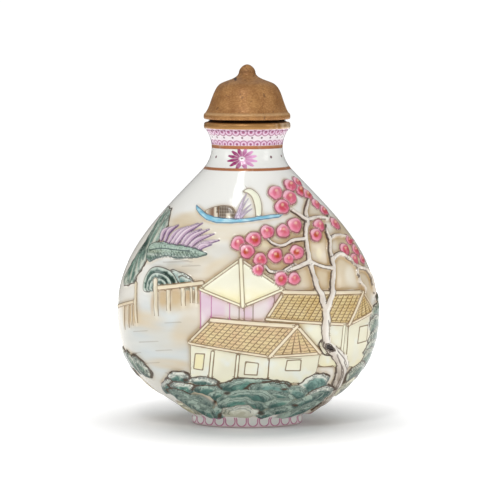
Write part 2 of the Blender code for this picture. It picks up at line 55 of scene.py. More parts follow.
cork_low, cork_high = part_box("cork")
print("bottle", bottle_low, bottle_high)

# %% [markdown]
# ## Sizes
#
# The picture was laid out in millimetres for a bottle 59.5 mm to the lip and 51 mm wide. `MM` turns one
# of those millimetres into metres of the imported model, so the drawing stays on the bottle.

# %% Driving sizes in millimetres
MM = (bottle_high[2] - bottle_low[2]) / 59.5
BODY_HALF = (25.5, 15.5)  # half-width and half-depth of the belly
FOOT_HALF = (10.9, 7.3)
SHOULDER_R = 8.6  # here the oval has become a circle
WAIST_R = 6.95
LIP_R = 8.45
MOUTH_R = 4.4
WALL = 2.4
FOOT_Z = 1.6  # top of the foot
BELLY_Z = 22.3
SHOULDER_Z = 50.1
FLARE_Z = 57.8  # underside of the lip
LIP_Z = 59.5  # raised seat under the stopper
LIP_TOP = 59.2  # outer edge of the lip
RECESS_Z = 0.9
FLOOR_Z = 3.1  # floor of the chamber
FOOT_RING = 1.6  # from the foot's edge to the recess underneath
ROUNDING = 0.4
EYE = np.array([0.0, -480.0, 79.5])
print("one drawn millimetre is", MM, "m")

# %% [markdown]
# ## Camera
#
# A long lens from half a metre, a little above the bottle: the foot is seen from above and the lip edge
# on.

# %% Camera
def facing(way):
    """Rotation that turns a camera or a lamp, which look down, to face along a direction."""
    return math.atan2(np.hypot(way[0], way[1]), -way[2]), 0.0, math.atan2(-way[0], way[1])


AIM = np.array([0.55, 0.0, 34.1])
look = AIM - EYE
SEEN_WIDTH = 98.0
SENSOR = 36.0
camera_data = bpy.data.cameras.new("photo_view")
camera_data.sensor_width = SENSOR
camera_data.lens = SENSOR * np.linalg.norm(look) / SEEN_WIDTH
camera_data.clip_start = 0.01
camera = bpy.data.objects.new("photo_view", camera_data)
bpy.context.scene.collection.objects.link(camera)
camera.location = EYE * MM
camera.rotation_euler = facing(look)
bpy.context.scene.camera = camera
print("lens", round(camera_data.lens, 1), "mm")

# %% [markdown]
# ## The smooth form
#
# The outline is three Bezier curves end to end: lower body, upper body and neck. The sections are ovals
# that turn into circles at the neck, so each station holds a half-width and a half-depth.

# %% Outline of the bottle
def bezier(points, steps=120):
    """A cubic curve: each control point weighted by its Bernstein polynomial."""
    p = np.asarray(points, float)
    t = np.linspace(0.0, 1.0, steps)[:, None]
    return (1 - t) ** 3 * p[0] + 3 * (1 - t) ** 2 * t * p[1] + 3 * (1 - t) * t**2 * p[2] + t**3 * p[3]


def between(start, end, share):
    return start + share * (end - start)


def outline_stations():
    """Half-width, half-depth and height of every station from the top of the foot to under the lip."""
    lower_height, upper_height = BELLY_Z - FOOT_Z, SHOULDER_Z - BELLY_Z
    neck_height, flare = FLARE_Z - SHOULDER_Z, LIP_R - ROUNDING
    lower = bezier([
        (*FOOT_HALF, FOOT_Z),
        (between(FOOT_HALF[0], BODY_HALF[0], 0.36), between(FOOT_HALF[1], BODY_HALF[1], 0.36),
         FOOT_Z + 0.21 * lower_height),
        (*BODY_HALF, FOOT_Z + 0.34 * lower_height),
        (*BODY_HALF, BELLY_Z),
    ])
    upper = bezier([
        (*BODY_HALF, BELLY_Z),
        (*BODY_HALF, BELLY_Z + 0.41 * upper_height),
        (between(SHOULDER_R, BODY_HALF[0], 0.5), between(SHOULDER_R, BODY_HALF[1], 0.5),
         BELLY_Z + 0.68 * upper_height),
        (SHOULDER_R, SHOULDER_R, SHOULDER_Z),
    ])
    neck = bezier([
        (SHOULDER_R, SHOULDER_R, SHOULDER_Z),
        (0.95 * WAIST_R, 0.95 * WAIST_R, SHOULDER_Z + 0.31 * neck_height),
        (0.914 * WAIST_R, 0.914 * WAIST_R, SHOULDER_Z + 0.66 * neck_height),
        (flare, flare, FLARE_Z),
    ])
    return np.vstack([lower, upper[1:], neck[1:]])


STATIONS = outline_stations()


def half_width(z):
    return np.interp(z, STATIONS[:, 2], STATIONS[:, 0])


def half_depth(z):
    return np.interp(z, STATIONS[:, 2], STATIONS[:, 1])


def slopes(z, step=0.25):
    """Central differences of the half-width and the half-depth."""
    wide = (half_width(z + step) - half_width(z - step)) / (2 * step)
    deep = (half_depth(z + step) - half_depth(z - step)) / (2 * step)
    return wide, deep


def surface(turn, z):
    """Point of the smooth body: x = half-width times sin(turn), y = -half-depth times cos(turn)."""
    return np.stack([half_width(z) * np.sin(turn), -half_depth(z) * np.cos(turn), z + 0 * turn], -1)


def outward(turn, z):
    """Unit normal: the gradient of (x / half-width)^2 + (y / half-depth)^2, whose halves change with z."""
    place = surface(turn, z)
    wide, deep = half_width(z), half_depth(z)
    wide_slope, deep_slope = slopes(z)
    normal = np.stack([
        place[..., 0] / wide**2,
        place[..., 1] / deep**2,
        -(place[..., 0] ** 2) * wide_slope / wide**3 - place[..., 1] ** 2 * deep_slope / deep**3,
    ], -1)
    return normal / np.linalg.norm(normal, axis=-1, keepdims=True)


def girth(turn, wide, deep):
    """Length of the oval from its front to a turn: its speed summed by a 16-point Gauss-Legendre rule."""
    nodes, weights = np.polynomial.legendre.leggauss(16)
    angle = np.multiply.outer(np.asarray(turn, float) / 2, nodes + 1)
    wide, deep = np.asarray(wide)[..., None], np.asarray(deep)[..., None]
    speed = np.hypot(wide * np.cos(angle), deep * np.sin(angle))
    return np.asarray(turn, float) / 2 * (speed * weights).sum(-1)


print("widest", STATIONS[:, 0].max(), "deepest", STATIONS[:, 1].max())

# %% [markdown]
# ## The grid
#
# Columns run round the body and are twice as close on the painted front as on the plain back. Rows are
# evenly spaced up the side. The whole skin is one grid of about 87,000 points, a quarter of a millimetre
# apart in front, and the picture is worked out on those points.

# %% Columns and rows of the body
FRONT_COLUMNS, BACK_COLUMNS, BODY_ROWS = 268, 124, 222
columns = np.concatenate([
    np.linspace(-0.5, 0.5, FRONT_COLUMNS, endpoint=False),
    np.linspace(0.5, 1.5, BACK_COLUMNS, endpoint=False),
]) * math.pi
COLUMN_TURNS = (columns + math.pi) % (2 * math.pi) - math.pi

body_line = STATIONS[STATIONS[:, 2] <= SHOULDER_Z + 1e-9]
travelled = np.concatenate([[0.0], np.cumsum(np.linalg.norm(np.diff(body_line, axis=0), axis=1))])
ROW_HEIGHTS = np.interp(np.linspace(0, travelled[-1], BODY_ROWS + 1), travelled, body_line[:, 2])

turn = np.tile(COLUMN_TURNS, len(ROW_HEIGHTS))
height = np.repeat(ROW_HEIGHTS, len(COLUMN_TURNS))
print(len(turn), "points, rows", round(travelled[-1] / BODY_ROWS, 2), "mm apart")

# %% [markdown]
# ## Drawing on a curved skin
#
# A painter works on the curved face, but a picture is easiest to lay out flat. Each mark is given across
# and up in the plane of the bottle's outline, as the eye sees it. `seen` follows the line of sight from
# the eye through the mark until it meets the body. From there on distances are measured on the skin
# itself: unrolled for panels and lines, or straight through space for branches and blossoms. A stroke
# near the side is then as wide on the clay as one in the middle, and is foreshortened by the view alone.

# %% Lines of sight and the two faces
def seen(marks):
    """Turn and height where the sight line through each mark enters the body, by 40 halvings."""
    marks = np.atleast_2d(np.asarray(marks, float))[:, :2]
    start = np.stack([marks[:, 0], np.zeros(len(marks)), marks[:, 1]], -1)
    near, far = np.zeros(len(marks)), np.full(len(marks), 2 * BODY_HALF[1] / -EYE[1])
    for _ in range(40):
        middle = (near + far) / 2
        at = start + middle[:, None] * (EYE - start)
        out = np.hypot(at[:, 0] / half_width(at[:, 2]), at[:, 1] / half_depth(at[:, 2])) > 1
        far, near = np.where(out, middle, far), np.where(out, near, middle)
    at = start + near[:, None] * (EYE - start)
    return np.arctan2(at[:, 0] / half_width(at[:, 2]), -at[:, 1] / half_depth(at[:, 2])), at[:, 2]


def smooth(value):
    """S-shaped rise from 0 to 1."""
    t = np.clip(value, 0.0, 1.0)
    return t * t * (3 - 2 * t)


def hashed(i, j, seed):
    """Repeatable number from 0 to 1 for each whole-number cell: the fraction of a large sine."""
    value = np.sin(i * 127.1 + j * 311.7 + seed * 74.7) * 43758.5453
    return value - np.floor(value)


def cloud(x, y, size, seed=0):
    """Value noise: cell corners' random numbers blended by an S-curve, over two octaves, from 0 to 1."""
    total = 0.0
    for octave, weight in ((1.0, 0.67), (2.17, 0.33)):
        u, v = x * octave / size, y * octave / size
        i, j = np.floor(u), np.floor(v)
        fu, fv = smooth(u - i), smooth(v - j)
        low = hashed(i, j, seed) * (1 - fu) + hashed(i + 1, j, seed) * fu
        high = hashed(i, j + 1, seed) * (1 - fu) + hashed(i + 1, j + 1, seed) * fu
        total = total + weight * (low * (1 - fv) + high * fv)
    return total


class Face:
    """One side of the body: every grid point's place in space and on the unrolled skin."""

    def __init__(self, back=False):
        own = np.where(back, turn - np.sign(turn + 1e-12) * math.pi, turn)
        self.at = np.flatnonzero(np.abs(own) < (0.501 if back else 0.8) * math.pi)
        level = height[self.at]
        self.place = surface(own[self.at], level)
        self.flat = np.stack([girth(own[self.at], half_width(level), half_depth(level)), level], -1)

    def unroll(self, marks):
        """Marks outside the outline go on round the side, twice as far as they stand out."""
        marks = np.atleast_2d(np.asarray(marks, float))
        side, level = seen(marks)
        beyond = np.maximum(np.abs(marks[:, 0]) - half_width(marks[:, 1]), 0)
        along = girth(side, half_width(level), half_depth(level)) + 2 * np.sign(marks[:, 0]) * beyond
        return np.stack([along, level], -1)

    def around(self, corners, margin):
        """The points of this face within a margin of some unrolled corners."""
        low, high = corners.min(0) - margin, corners.max(0) + margin
        return Spot(self, np.flatnonzero(((self.flat >= low) & (self.flat <= high)).all(1)))


front, back = Face(), Face(back=True)
print("front", len(front.at), "points, back", len(back.at))

# %% [markdown]
# ## The picture so far
#
# The picture is kept as plain arrays over the grid: enamel colour, the nearest ink line, its colour, the
# height of the clay, and tile coordinates for roofs. A line is stored as a signed distance, an unsigned
# one and half its width. The signed one changes evenly from point to point, so the material finds the
# line's edge between them. Shapes are laid from far to near. A shape laid over another hides its ink and
# takes over its height.
#
# Every shape is a signed depth in millimetres: positive inside, zero on its edge, negative outside. A
# soft step of that depth paints the shape, a thin band round zero draws its outline, and a steeper step
# lifts the clay.

# %% Arrays of the picture
CLEAR = 9.0  # a distance that means no ink near
NO_TILE = -1.0  # a depth that means no roof here
SOFT_EDGE = 0.16  # width over which an enamel's edge blends
GLAZE_RISE = 0.2  # depth at which a glaze is at its full strength


def enamel(red, green, blue):
    """Linear colour of a fired enamel named by its 0 to 255 display values."""
    value = np.array([red, green, blue]) / 255.0
    return np.where(value <= 0.04045, value / 12.92, ((value + 0.055) / 1.055) ** 2.4)


points = len(turn)
paint = np.tile(enamel(238, 238, 233), (points, 1))
ink = np.tile([CLEAR, CLEAR, 0.0], (points, 1))
ink_colour = np.tile(np.append(enamel(90, 62, 36), 1.0), (points, 1))
relief = np.zeros(points)
stipple = np.zeros(points)
tiles = np.tile([0.0, 0.0, NO_TILE], (points, 1))


# %% Ways to lay colour, ink and clay
class Spot:
    """Some points of a face: their numbers in the arrays, their place in space and on the unrolled skin."""

    def __init__(self, face, rows):
        self.at, self.place, self.unrolled = face.at[rows], face.place[rows], face.flat[rows]
        self.xz = self.unrolled[:, 0], self.unrolled[:, 1]

    def wash(self, amount, colour):
        """Blend an enamel into the paint by an amount from 0 to 1."""
        amount = np.clip(amount, 0, 1)[:, None]
        paint[self.at] = paint[self.at] * (1 - amount) + colour * amount

    def cover(self, depth, colour):
        """Lay an opaque enamel with a soft edge, and hide the ink and the tiles under it."""
        self.wash(smooth(depth / SOFT_EDGE + 0.5), colour)
        hidden = self.at[depth > 0]
        ink[hidden] = CLEAR, CLEAR, 0.0
        tiles[hidden, 2] = NO_TILE
        stipple[hidden] = 0.0

    def glaze(self, depth, amount, colour):
        """A wash that stays inside the shape."""
        self.wash(inside(depth) * amount, colour)

    def patches(self, size, seed, gain, loss):
        """Patches from 0 to 1: noise of a size, made steeper by the gain and scarcer by the loss."""
        return smooth(gain * cloud(*self.xz, size, seed) - loss)

    def speckle(self, depth, amount):
        """Say how much the material stipples the shape with dark and light dots."""
        stipple[self.at] = inside(depth) * amount

    def line(self, signed, width, colour, strength=1.0, only=True):
        """Keep the nearest line: its distance with and without sign, and half its uneven width."""
        half = width / 2 * (0.8 + 0.6 * cloud(*self.xz, 1.6, 5))
        away = np.abs(signed)
        closer = (away - half < ink[self.at, 1] - ink[self.at, 2]) & only
        ink[self.at[closer]] = np.stack([signed, away, half], -1)[closer]
        ink_colour[self.at[closer]] = np.append(colour, strength)

    def lift(self, depth, tall, edge=0.3):
        """Bring the clay to a height inside a shape, with a slope as wide as the edge."""
        share = smooth(depth / edge + 0.5)
        relief[self.at] = relief[self.at] * (1 - share) + tall * share


def inside(depth):
    """Share that rises from 0 on the edge of a shape to 1 a little way in."""
    return smooth(depth / GLAZE_RISE)


def half_round(offset):
    """Height of a half-round strip at an offset from its middle, where the edge is at 1."""
    return np.sqrt(np.clip(1 - offset**2, 0, 1))


# %% [markdown]
# ## Panels, strokes, lobes and balls
#
# Four kinds of shape make the whole scene. Each gives the points near it, and their depth or distance.

# %% Depth inside outlines, strips, lobes and balls
MARGIN = 0.8  # how far round a shape its points are looked for
CURVE_STEPS = 6


def curve(marks, closed=False):
    """Catmull-Rom curve through the marks, so that a few points give a soft outline."""
    p = np.asarray(marks, float)
    p = np.vstack([p[-1], p, p[:2]]) if closed else np.vstack([2 * p[0] - p[1], p, 2 * p[-1] - p[-2]])
    t = np.linspace(0, 1, CURVE_STEPS, endpoint=False)[:, None]
    a, b, c, d = p[:-3, None], p[1:-2, None], p[2:-1, None], p[3:, None]
    square, cube = (2 * a - 5 * b + 4 * c - d) * t**2, (3 * b - a - 3 * c + d) * t**3
    rounded = (0.5 * (2 * b + (c - a) * t + square + cube)).reshape(-1, p.shape[1])
    return rounded if closed else np.vstack([rounded, p[-2]])


def to_line(points, path):
    """Distance from points to a broken line, the share of the line travelled, and the side they lie on."""
    best = np.full(len(points), 1e9)
    share, side = np.zeros(len(points)), np.zeros(len(points))
    lengths = np.linalg.norm(np.diff(path, axis=0), axis=1)
    starts = np.concatenate([[0.0], np.cumsum(lengths)])
    for k in range(len(path) - 1):
        along = path[k + 1] - path[k]
        t = np.clip((points - path[k]) @ along / max(along @ along, 1e-12), 0, 1)
        gap = points - path[k] - t[:, None] * along
        away = np.linalg.norm(gap, axis=1)
        closer = away < best
        best[closer] = away[closer]
        share[closer] = (starts[k] + t[closer] * lengths[k]) / max(starts[-1], 1e-12)
        side[closer] = np.sign(along[0] * gap[closer, 1] - along[1] * gap[closer, 0])
    return best, share, side


def within(points, corners):
    """True inside a closed outline: a level ray crosses its edge an odd number of times."""
    crossed = np.zeros(len(points), bool)
    for start, end in zip(corners, np.roll(corners, -1, axis=0)):
        spans = (start[1] > points[:, 1]) != (end[1] > points[:, 1])
        rise = end[1] - start[1] if end[1] != start[1] else 1e-12
        edge = start[0] + (points[:, 1] - start[1]) * (end[0] - start[0]) / rise
        crossed ^= spans & (points[:, 0] < edge)
    return crossed


def panel(face, marks):
    """A closed outline: the points near it and their signed depth."""
    corners = face.unroll(marks)
    here = face.around(corners, MARGIN)
    away, _, _ = to_line(here.unrolled, np.vstack([corners, corners[:1]]))
    return here, np.where(within(here.unrolled, corners), away, -away)


def stroke(face, marks, margin=MARGIN):
    """An open line: the points near it, their distance, the share travelled and the side."""
    path = face.unroll(marks)
    here = face.around(path, margin)
    return here, *to_line(here.unrolled, path)


def lobe(face, across, up, wide, high, tilt=0.0, wobble=0.0, seed=0, margin=1.3):
    """A leaning oval with a wavy edge: share from 1 at its middle to 0, and place inside it."""
    middle = face.unroll([(across, up)])[0]
    here = face.around(np.array([middle]), margin * max(wide, high))
    gap = here.unrolled - middle
    c, s = math.cos(math.radians(tilt)), math.sin(math.radians(tilt))
    u, v = (gap[:, 0] * c + gap[:, 1] * s) / wide, (gap[:, 1] * c - gap[:, 0] * s) / high
    bearing = np.arctan2(v, u)
    wave = np.sin(3 * bearing + seed) + 0.7 * np.sin(5 * bearing + 2.3 * seed)
    wave = wave + 0.5 * np.sin(9 * bearing + seed)
    return here, 1 - np.hypot(u, v) * (1 + wobble * wave), u, v


def ball(face, across, up, radius):
    """A round thing on the skin: points near it, their offsets, and their distance over its radius."""
    side, level = seen([(across, up)])
    centre = surface(side, level)[0]
    here = Spot(face, np.flatnonzero((np.abs(face.place - centre) < 2 * MARGIN * radius).all(1)))
    return here, here.place - centre, np.linalg.norm(here.place - centre, axis=1) / radius


def brush(face, marks, width, colour, strength=1.0, taper=0.0):
    """One ink stroke along marks, thinner towards its end by the taper."""
    here, away, share, side = stroke(face, marks)
    here.line(away * side, width * (1 - taper * share), colour, strength)


def bar(face, marks, width, colour, tall, ink_tone, ink_width=0.2, strength=1.0):
    """A raised strip with an inked edge on both sides."""
    here, away, _, _ = stroke(face, marks, width + 0.6)
    here.cover(width / 2 - away, colour)
    here.lift(width / 2 - away, tall, 0.25)
    here.line(away - width / 2, ink_width, ink_tone, strength)


# %% Enamels
BARK_INK = enamel(66, 46, 30)
OCHRE_INK = enamel(114, 84, 46)
WALL_INK = enamel(112, 86, 50)
TILE_INK = enamel(98, 66, 30)
TEAL_INK = enamel(38, 62, 60)
PUCE_INK = enamel(176, 72, 140)
PURPLE_INK = enamel(96, 62, 110)
SAND = enamel(208, 186, 146)
PALE_SAND = enamel(226, 214, 188)
TAN = enamel(214, 196, 162)
WATER = enamel(194, 202, 204)
GREEN_WHITE = enamel(218, 224, 214)
CREAM = enamel(234, 232, 208)
YELLOW = enamel(236, 220, 140)
TEAL = enamel(94, 140, 126)
DEEP_TEAL = enamel(46, 82, 76)
BROWN = enamel(74, 48, 24)
LILAC = enamel(220, 190, 210)
TILE = enamel(212, 190, 140)
TILE_PINK = enamel(214, 172, 136)
RIDGE = enamel(232, 218, 190)
POST = enamel(230, 222, 200)
SKY_BLUE = enamel(118, 184, 212)
ROSE = enamel(200, 64, 94)
PINK = enamel(236, 148, 174)
ORANGE = enamel(176, 70, 34)
PEACH = enamel(250, 200, 168)
# The last is the brown tint of the painted shade in hollows beside the relief and towards the sides.
SHADE_TINT = np.array([0.66, 0.5, 0.3])

# %% [markdown]
# ## Water, sand and sky
#
# Thin washes under everything: blue-grey water in level streaks, and sand along the shores.

# %% Washes under the scene
def soft_patch(face, across, up, wide, high, colour, strength, tilt=0.0, streak=0.0, seed=0):
    """A faded oval of colour whose strength follows level streaks of noise."""
    here, share, _, _ = lobe(face, across, up, wide, high, tilt, margin=1.2)
    x, z = here.xz
    streaks = 1 - streak + streak * 1.8 * cloud(x / 5.0, z, 1.1, seed)
    here.wash(strength * smooth(share * 1.5) * streaks, colour)


for patch in (
    (-17.0, 14.0, 13.0, 12.0, enamel(204, 202, 190), 0.6, 0, 0.2, 18),
    (-17.0, 17.0, 14.0, 11.0, WATER, 0.7, 0, 0.5, 1),
    (-14.0, 30.8, 7.0, 1.8, WATER, 0.8, -4, 0.5, 2),
    (-7.0, 33.4, 9.0, 3.0, enamel(208, 204, 192), 0.6, 0, 0.3, 19),
    (-21.0, 7.5, 9.0, 5.5, SAND, 0.55, -20, 0.5, 3),
    (-15.5, 11.6, 7.0, 1.6, SAND, 0.55, 0, 0.5, 4),
    (-12.0, 18.6, 3.4, 5.5, SAND, 0.55, -38, 0.2, 5),
    (-12.4, 39.6, 5.5, 2.4, SAND, 0.7, 6, 0.4, 6),
    (-4.0, 37.4, 11.0, 2.4, PALE_SAND, 0.75, 0, 0.4, 7),
    (-12.4, 29.4, 7.5, 2.6, SAND, 0.45, -16, 0.3, 8),
    (-14.0, 24.4, 7.0, 3.6, SAND, 0.75, 0, 0.2, 9),
    (-23.0, 21.6, 4.5, 3.6, SAND, 0.6, 0, 0.3, 10),
    (-6.0, 30.6, 5.0, 2.0, PALE_SAND, 0.7, 36, 0.2, 11),
    (-6.6, 23.0, 5.0, 6.0, PALE_SAND, 0.4, 0, 0.2, 12),
    (23.0, 33.0, 4.0, 9.0, PALE_SAND, 0.5, 30, 0.2, 13),
    (-9.0, 31.6, 5.0, 2.6, SAND, 0.4, -14, 0.5, 14),
    (-20.0, 20.0, 6.0, 3.0, SAND, 0.5, 0, 0.5, 15),
    (-15.0, 16.4, 9.0, 4.0, SAND, 0.2, 0, 0.7, 16),
    (-8.0, 40.6, 7.0, 2.0, PALE_SAND, 0.5, 4, 0.4, 17),
):
    soft_patch(front, *patch)

WATER_LINES = [
    (-19.4, 15.9, 3.6), (-22.2, 13.7, 2.4), (-16.4, 14.2, 3.0), (-19.0, 11.7, 3.2), (-15.0, 9.8, 2.2),
    (-13.6, 31.7, 5.6), (-11.0, 30.9, 3.4), (-14.6, 19.7, 3.0), (-21.0, 18.0, 2.6),
]
for across, up, length in WATER_LINES:
    ripple = [(across - length / 2, up), (across, up + 0.08), (across + length / 2, up + 0.16)]
    brush(front, curve(ripple), 0.2, WALL_INK, 0.28)
print("washes laid")

# %% [markdown]
# ## Cliff, promontory and mound
#
# The far hills are drapery-like folds: long rounded ribs, green in the hollows and white on the crests.
# Each rib is one stroke whose colour runs from white on its upper side to dark green on its lower side.
# Over the near cliff, combed strokes run along the folds. The mound is one outline drawn four times, ever
# smaller about its foot.

# %% Ground and ribs of the far hills
def hill_ground(face, marks, ragged, size, seed):
    """The pale ground of a far hill, with an edge made ragged by noise."""
    here, depth = panel(face, marks)
    depth = depth + ragged * (cloud(*here.xz, size, seed) - 0.5)
    here.cover(depth, enamel(206, 216, 204))
    here.lift(depth, 0.25)
    here.line(depth, 0.26, BARK_INK, 0.9)
    return here, depth


def rib(face, marks, width, tall, light, dark, ink_tone, strength):
    """A half-round ridge along marks: height by the circle rule, colour across it from light to dark."""
    here, away, share, side = stroke(face, curve(marks), width)
    half = width / 2 * (0.55 + 0.45 * np.sin(math.pi * np.clip(share * 0.9 + 0.05, 0, 1)))
    depth = half - away
    x, z = here.xz
    here.cover(depth, light)
    across_rib = side * away / half
    here.glaze(depth, smooth(0.72 + 0.75 * across_rib) * (0.55 + 0.6 * cloud(x, z, 0.7, 3)), dark)
    here.glaze(depth, smooth(0.1 + 0.9 * across_rib) * here.patches(1.3, 4, 2.0, 0.4) * 0.7, DEEP_TEAL)
    here.speckle(depth, 0.5)
    here.lift(depth, tall * (0.55 + 0.45 * half_round(away / half)))
    here.line(depth, 0.2, ink_tone, strength, across_rib > -0.2)


CLIFF = [
    (-14.7, 42.2), (-14.9, 41.2), (-15.3, 40.2), (-15.4, 38.9), (-16.2, 37.6), (-16.6, 36.4),
    (-18.0, 35.2), (-19.0, 34.0), (-19.4, 32.2), (-20.1, 31.2), (-20.7, 30.0), (-21.4, 29.1),
    (-21.9, 27.8), (-23.2, 27.0), (-24.1, 27.2), (-24.1, 28.6), (-23.2, 30.4), (-22.1, 32.4),
    (-20.7, 34.6), (-19.3, 36.6), (-17.9, 38.8), (-16.5, 41.0), (-15.4, 42.6),
]
cliff, cliff_depth = hill_ground(front, CLIFF, 0.5, 0.8, 46)
for marks, width in (
    ([(-15.0, 41.5), (-16.0, 39.4), (-16.8, 37.2), (-17.6, 36.0)], 1.0),
    ([(-15.9, 41.4), (-17.2, 38.8), (-18.4, 36.4), (-19.0, 34.6)], 1.1),
    ([(-16.8, 40.4), (-18.4, 37.6), (-19.8, 35.0), (-20.3, 32.4)], 1.15),
    ([(-18.0, 38.0), (-19.6, 35.2), (-20.8, 32.6), (-21.2, 30.2)], 1.1),
    ([(-19.6, 35.6), (-21.1, 33.0), (-22.0, 30.4), (-22.3, 28.0)], 1.05),
    ([(-21.2, 32.8), (-22.5, 30.6), (-23.2, 28.0)], 1.0),
):
    rib(front, marks, width, 0.42, enamel(214, 226, 216), enamel(104, 148, 132), enamel(44, 66, 58), 0.5)
x, z = cliff.xz
across_folds, along_folds = 0.83 * x - 0.55 * z, 0.55 * x + 0.83 * z
combed = cloud(across_folds, along_folds / 5.0, 0.55, 47)
broad = cloud(across_folds, along_folds / 3.0, 1.4, 48)
cliff.glaze(cliff_depth, smooth(3.4 * combed - 1.4) * 0.75, enamel(56, 100, 88))
cliff.glaze(cliff_depth, smooth(4.0 * broad - 1.9) * 0.85, enamel(30, 52, 44))
cliff.glaze(cliff_depth, smooth(1.5 - 3.6 * combed) * 0.8, enamel(218, 228, 218))
cliff.line(cliff_depth, 0.24, BARK_INK, 0.9)
cliff.speckle(cliff_depth, 0.35)

PROMONTORY = [
    (-18.3, 35.2), (-16.5, 35.6), (-14.5, 35.1), (-11.9, 34.7), (-8.8, 33.9), (-8.0, 33.2), (-10.2, 32.6),
    (-13.7, 32.5), (-15.4, 32.9), (-17.5, 32.5), (-18.9, 31.8), (-19.5, 32.6), (-19.3, 34.1),
]
PURPLE_BLADES = [
    ((-16.7, 36.2), (-14.7, 38.6)), ((-16.0, 35.9), (-13.4, 39.0)), ((-15.3, 35.6), (-11.6, 38.7)),
    ((-14.7, 35.3), (-9.6, 39.3)), ((-14.0, 35.1), (-8.7, 39.4)), ((-12.9, 34.9), (-8.9, 38.2)),
    ((-12.2, 34.8), (-7.4, 38.2)), ((-11.4, 34.5), (-6.4, 37.3)), ((-10.4, 34.2), (-5.5, 36.0)),
    ((-9.6, 34.0), (-6.9, 35.2)),
]
for foot, tip in PURPLE_BLADES:
    bend = (between(foot[0], tip[0], 0.45) - 0.35, between(foot[1], tip[1], 0.5) + 0.25)
    here, away, share, side = stroke(front, curve([foot, bend, tip]), 1.2)
    half = 0.42 * np.sqrt(np.clip(1.04 - share, 0, 1)) * (0.75 + 0.5 * np.sin(math.pi * share))
    depth, upper = half - away, smooth(0.4 - 1.2 * side * away / half)
    here.cover(depth, enamel(226, 208, 218))
    here.glaze(depth, upper * (0.6 + 0.4 * share), enamel(148, 100, 148))
    here.glaze(depth, smooth((share - 0.8) / 0.2) * 0.7, PURPLE_INK)
    here.lift(depth, 0.4)
    here.line(depth, 0.2, PURPLE_INK, 0.9, side < 0)
    here.line(depth, 0.13, PURPLE_INK, 0.5, side >= 0)

here, depth = panel(front, curve(PROMONTORY, closed=True))
x, z = here.xz
depth = depth + 0.24 * (cloud(x, z, 0.7, 6) - 0.5)
here.cover(depth, enamel(164, 186, 172))
here.glaze(depth, smooth((34.2 - z + cloud(x, z, 0.9, 6)) / 1.6) * 0.75, enamel(98, 126, 108))
here.glaze(depth, smooth(1.1 - depth / 0.8) * smooth((33.9 - z) / 0.5) * 0.9, DEEP_TEAL)
here.glaze(depth, smooth(1.2 - np.abs(z - 33.9) / 0.25) * cloud(x * 3, z, 0.8, 9), enamel(226, 232, 222))
here.speckle(depth, 0.7)
here.lift(depth, 0.45 + 0.25 * np.cos((z - 33.3) * 2.6), 0.4)
here.line(depth, 0.2, TEAL_INK, 0.85)
brush(front, curve([(-18.9, 34.0), (-16.6, 34.3), (-13.6, 34.0), (-11.2, 33.8)]), 0.2, TEAL_INK, 0.8)
for across in np.arange(-17.6, -9.4, 0.62):
    brush(front, [(across, 32.7 + 0.2 * math.sin(across * 5)), (across - 0.5, 33.5)], 0.16, TEAL_INK, 0.6)

for across, up, wide, high, tilt in ((-12.9, 28.1, 2.9, 1.5, -26), (-11.7, 27.5, 1.9, 1.0, -32)):
    here, share, _, v = lobe(front, across, up, wide, high, tilt, 0.05, 2)
    x, z = here.xz
    rough = cloud(x * 1.6, z, 0.8, 17)
    depth = share * high
    here.cover(depth, enamel(206, 216, 206))
    here.glaze(depth, smooth(1.5 * rough - v + 0.1), enamel(92, 132, 130))
    here.glaze(depth, smooth(1.6 * rough - v - 0.5) * 0.9, DEEP_TEAL)
    stipple[here.at] = smooth(share * 8) * 0.6
    here.lift(depth, 0.4)
    here.line(depth, 0.17, BARK_INK, 0.8, v > -0.2)

MOUND_FOOT = np.array([-17.6, 26.3])
MOUND = [
    (-20.3, 26.2), (-20.2, 27.9), (-19.7, 29.2), (-18.8, 30.4), (-17.5, 30.8), (-15.9, 30.4),
    (-14.6, 29.6), (-13.8, 28.4), (-13.4, 27.0), (-15.3, 26.7), (-17.8, 26.3), (-19.3, 25.8),
]
MOUND_SCALES = (1.0, 0.74, 0.52, 0.3)
for order, scale in enumerate(MOUND_SCALES):
    here, depth = panel(front, curve(MOUND_FOOT + scale * (np.array(MOUND) - MOUND_FOOT), closed=True))
    x, z = here.xz
    away = x - x.mean()
    combed = cloud(np.arctan2(z - MOUND_FOOT[1], away) * 9, depth * 0.6, 1.0, 15 + order)
    here.cover(depth, enamel(196, 208, 196))
    if scale > MOUND_SCALES[-1]:
        here.glaze(depth, smooth((depth - 0.05 - 0.5 * combed) / 0.4), enamel(112, 150, 138))
        shady = np.minimum(0.75 + 0.25 * smooth(away / 1.5) + 0.25 * smooth((28.2 - z) / 1.5), 1)
        here.glaze(depth, smooth((depth - 0.05 - 0.7 * combed) / 0.3) * shady, enamel(34, 54, 46))
    here.speckle(depth, 0.4)
    here.lift(depth, 0.3 + 0.06 * order)
    here.line(depth, 0.17, TEAL_INK if order else BARK_INK, 0.85, z > 26.4)
print("hills laid")

# %% [markdown]
# ## Fence over the water
#
# Round posts in pale cream between thin brown lines, fading into the water at their foot. Two rails join
# them, and sand stains lie between them.

# %% Poles and rails
def pole(face, foot, top, width):
    """A round post between two thin lines, which sinks into the water and fades at its foot."""
    here, away, share, side = stroke(face, [top, foot], width + 0.5)
    depth = width / 2 - away
    fade = smooth((1 - share) / 0.3)
    here.cover(np.where(share < 0.6, depth, -1), POST)
    here.glaze(depth, 0.3 + 0.7 * fade, POST)
    here.glaze(depth, smooth(side * away / width * 3 + 0.3) * 0.5 * fade, enamel(190, 166, 124))
    round_top = 0.4 * (0.6 + 0.4 * half_round(2 * away / width))
    here.lift(depth, round_top * (0.25 + 0.75 * fade), 0.25)
    here.line(depth, 0.15, WALL_INK, 0.75, share < 0.97)


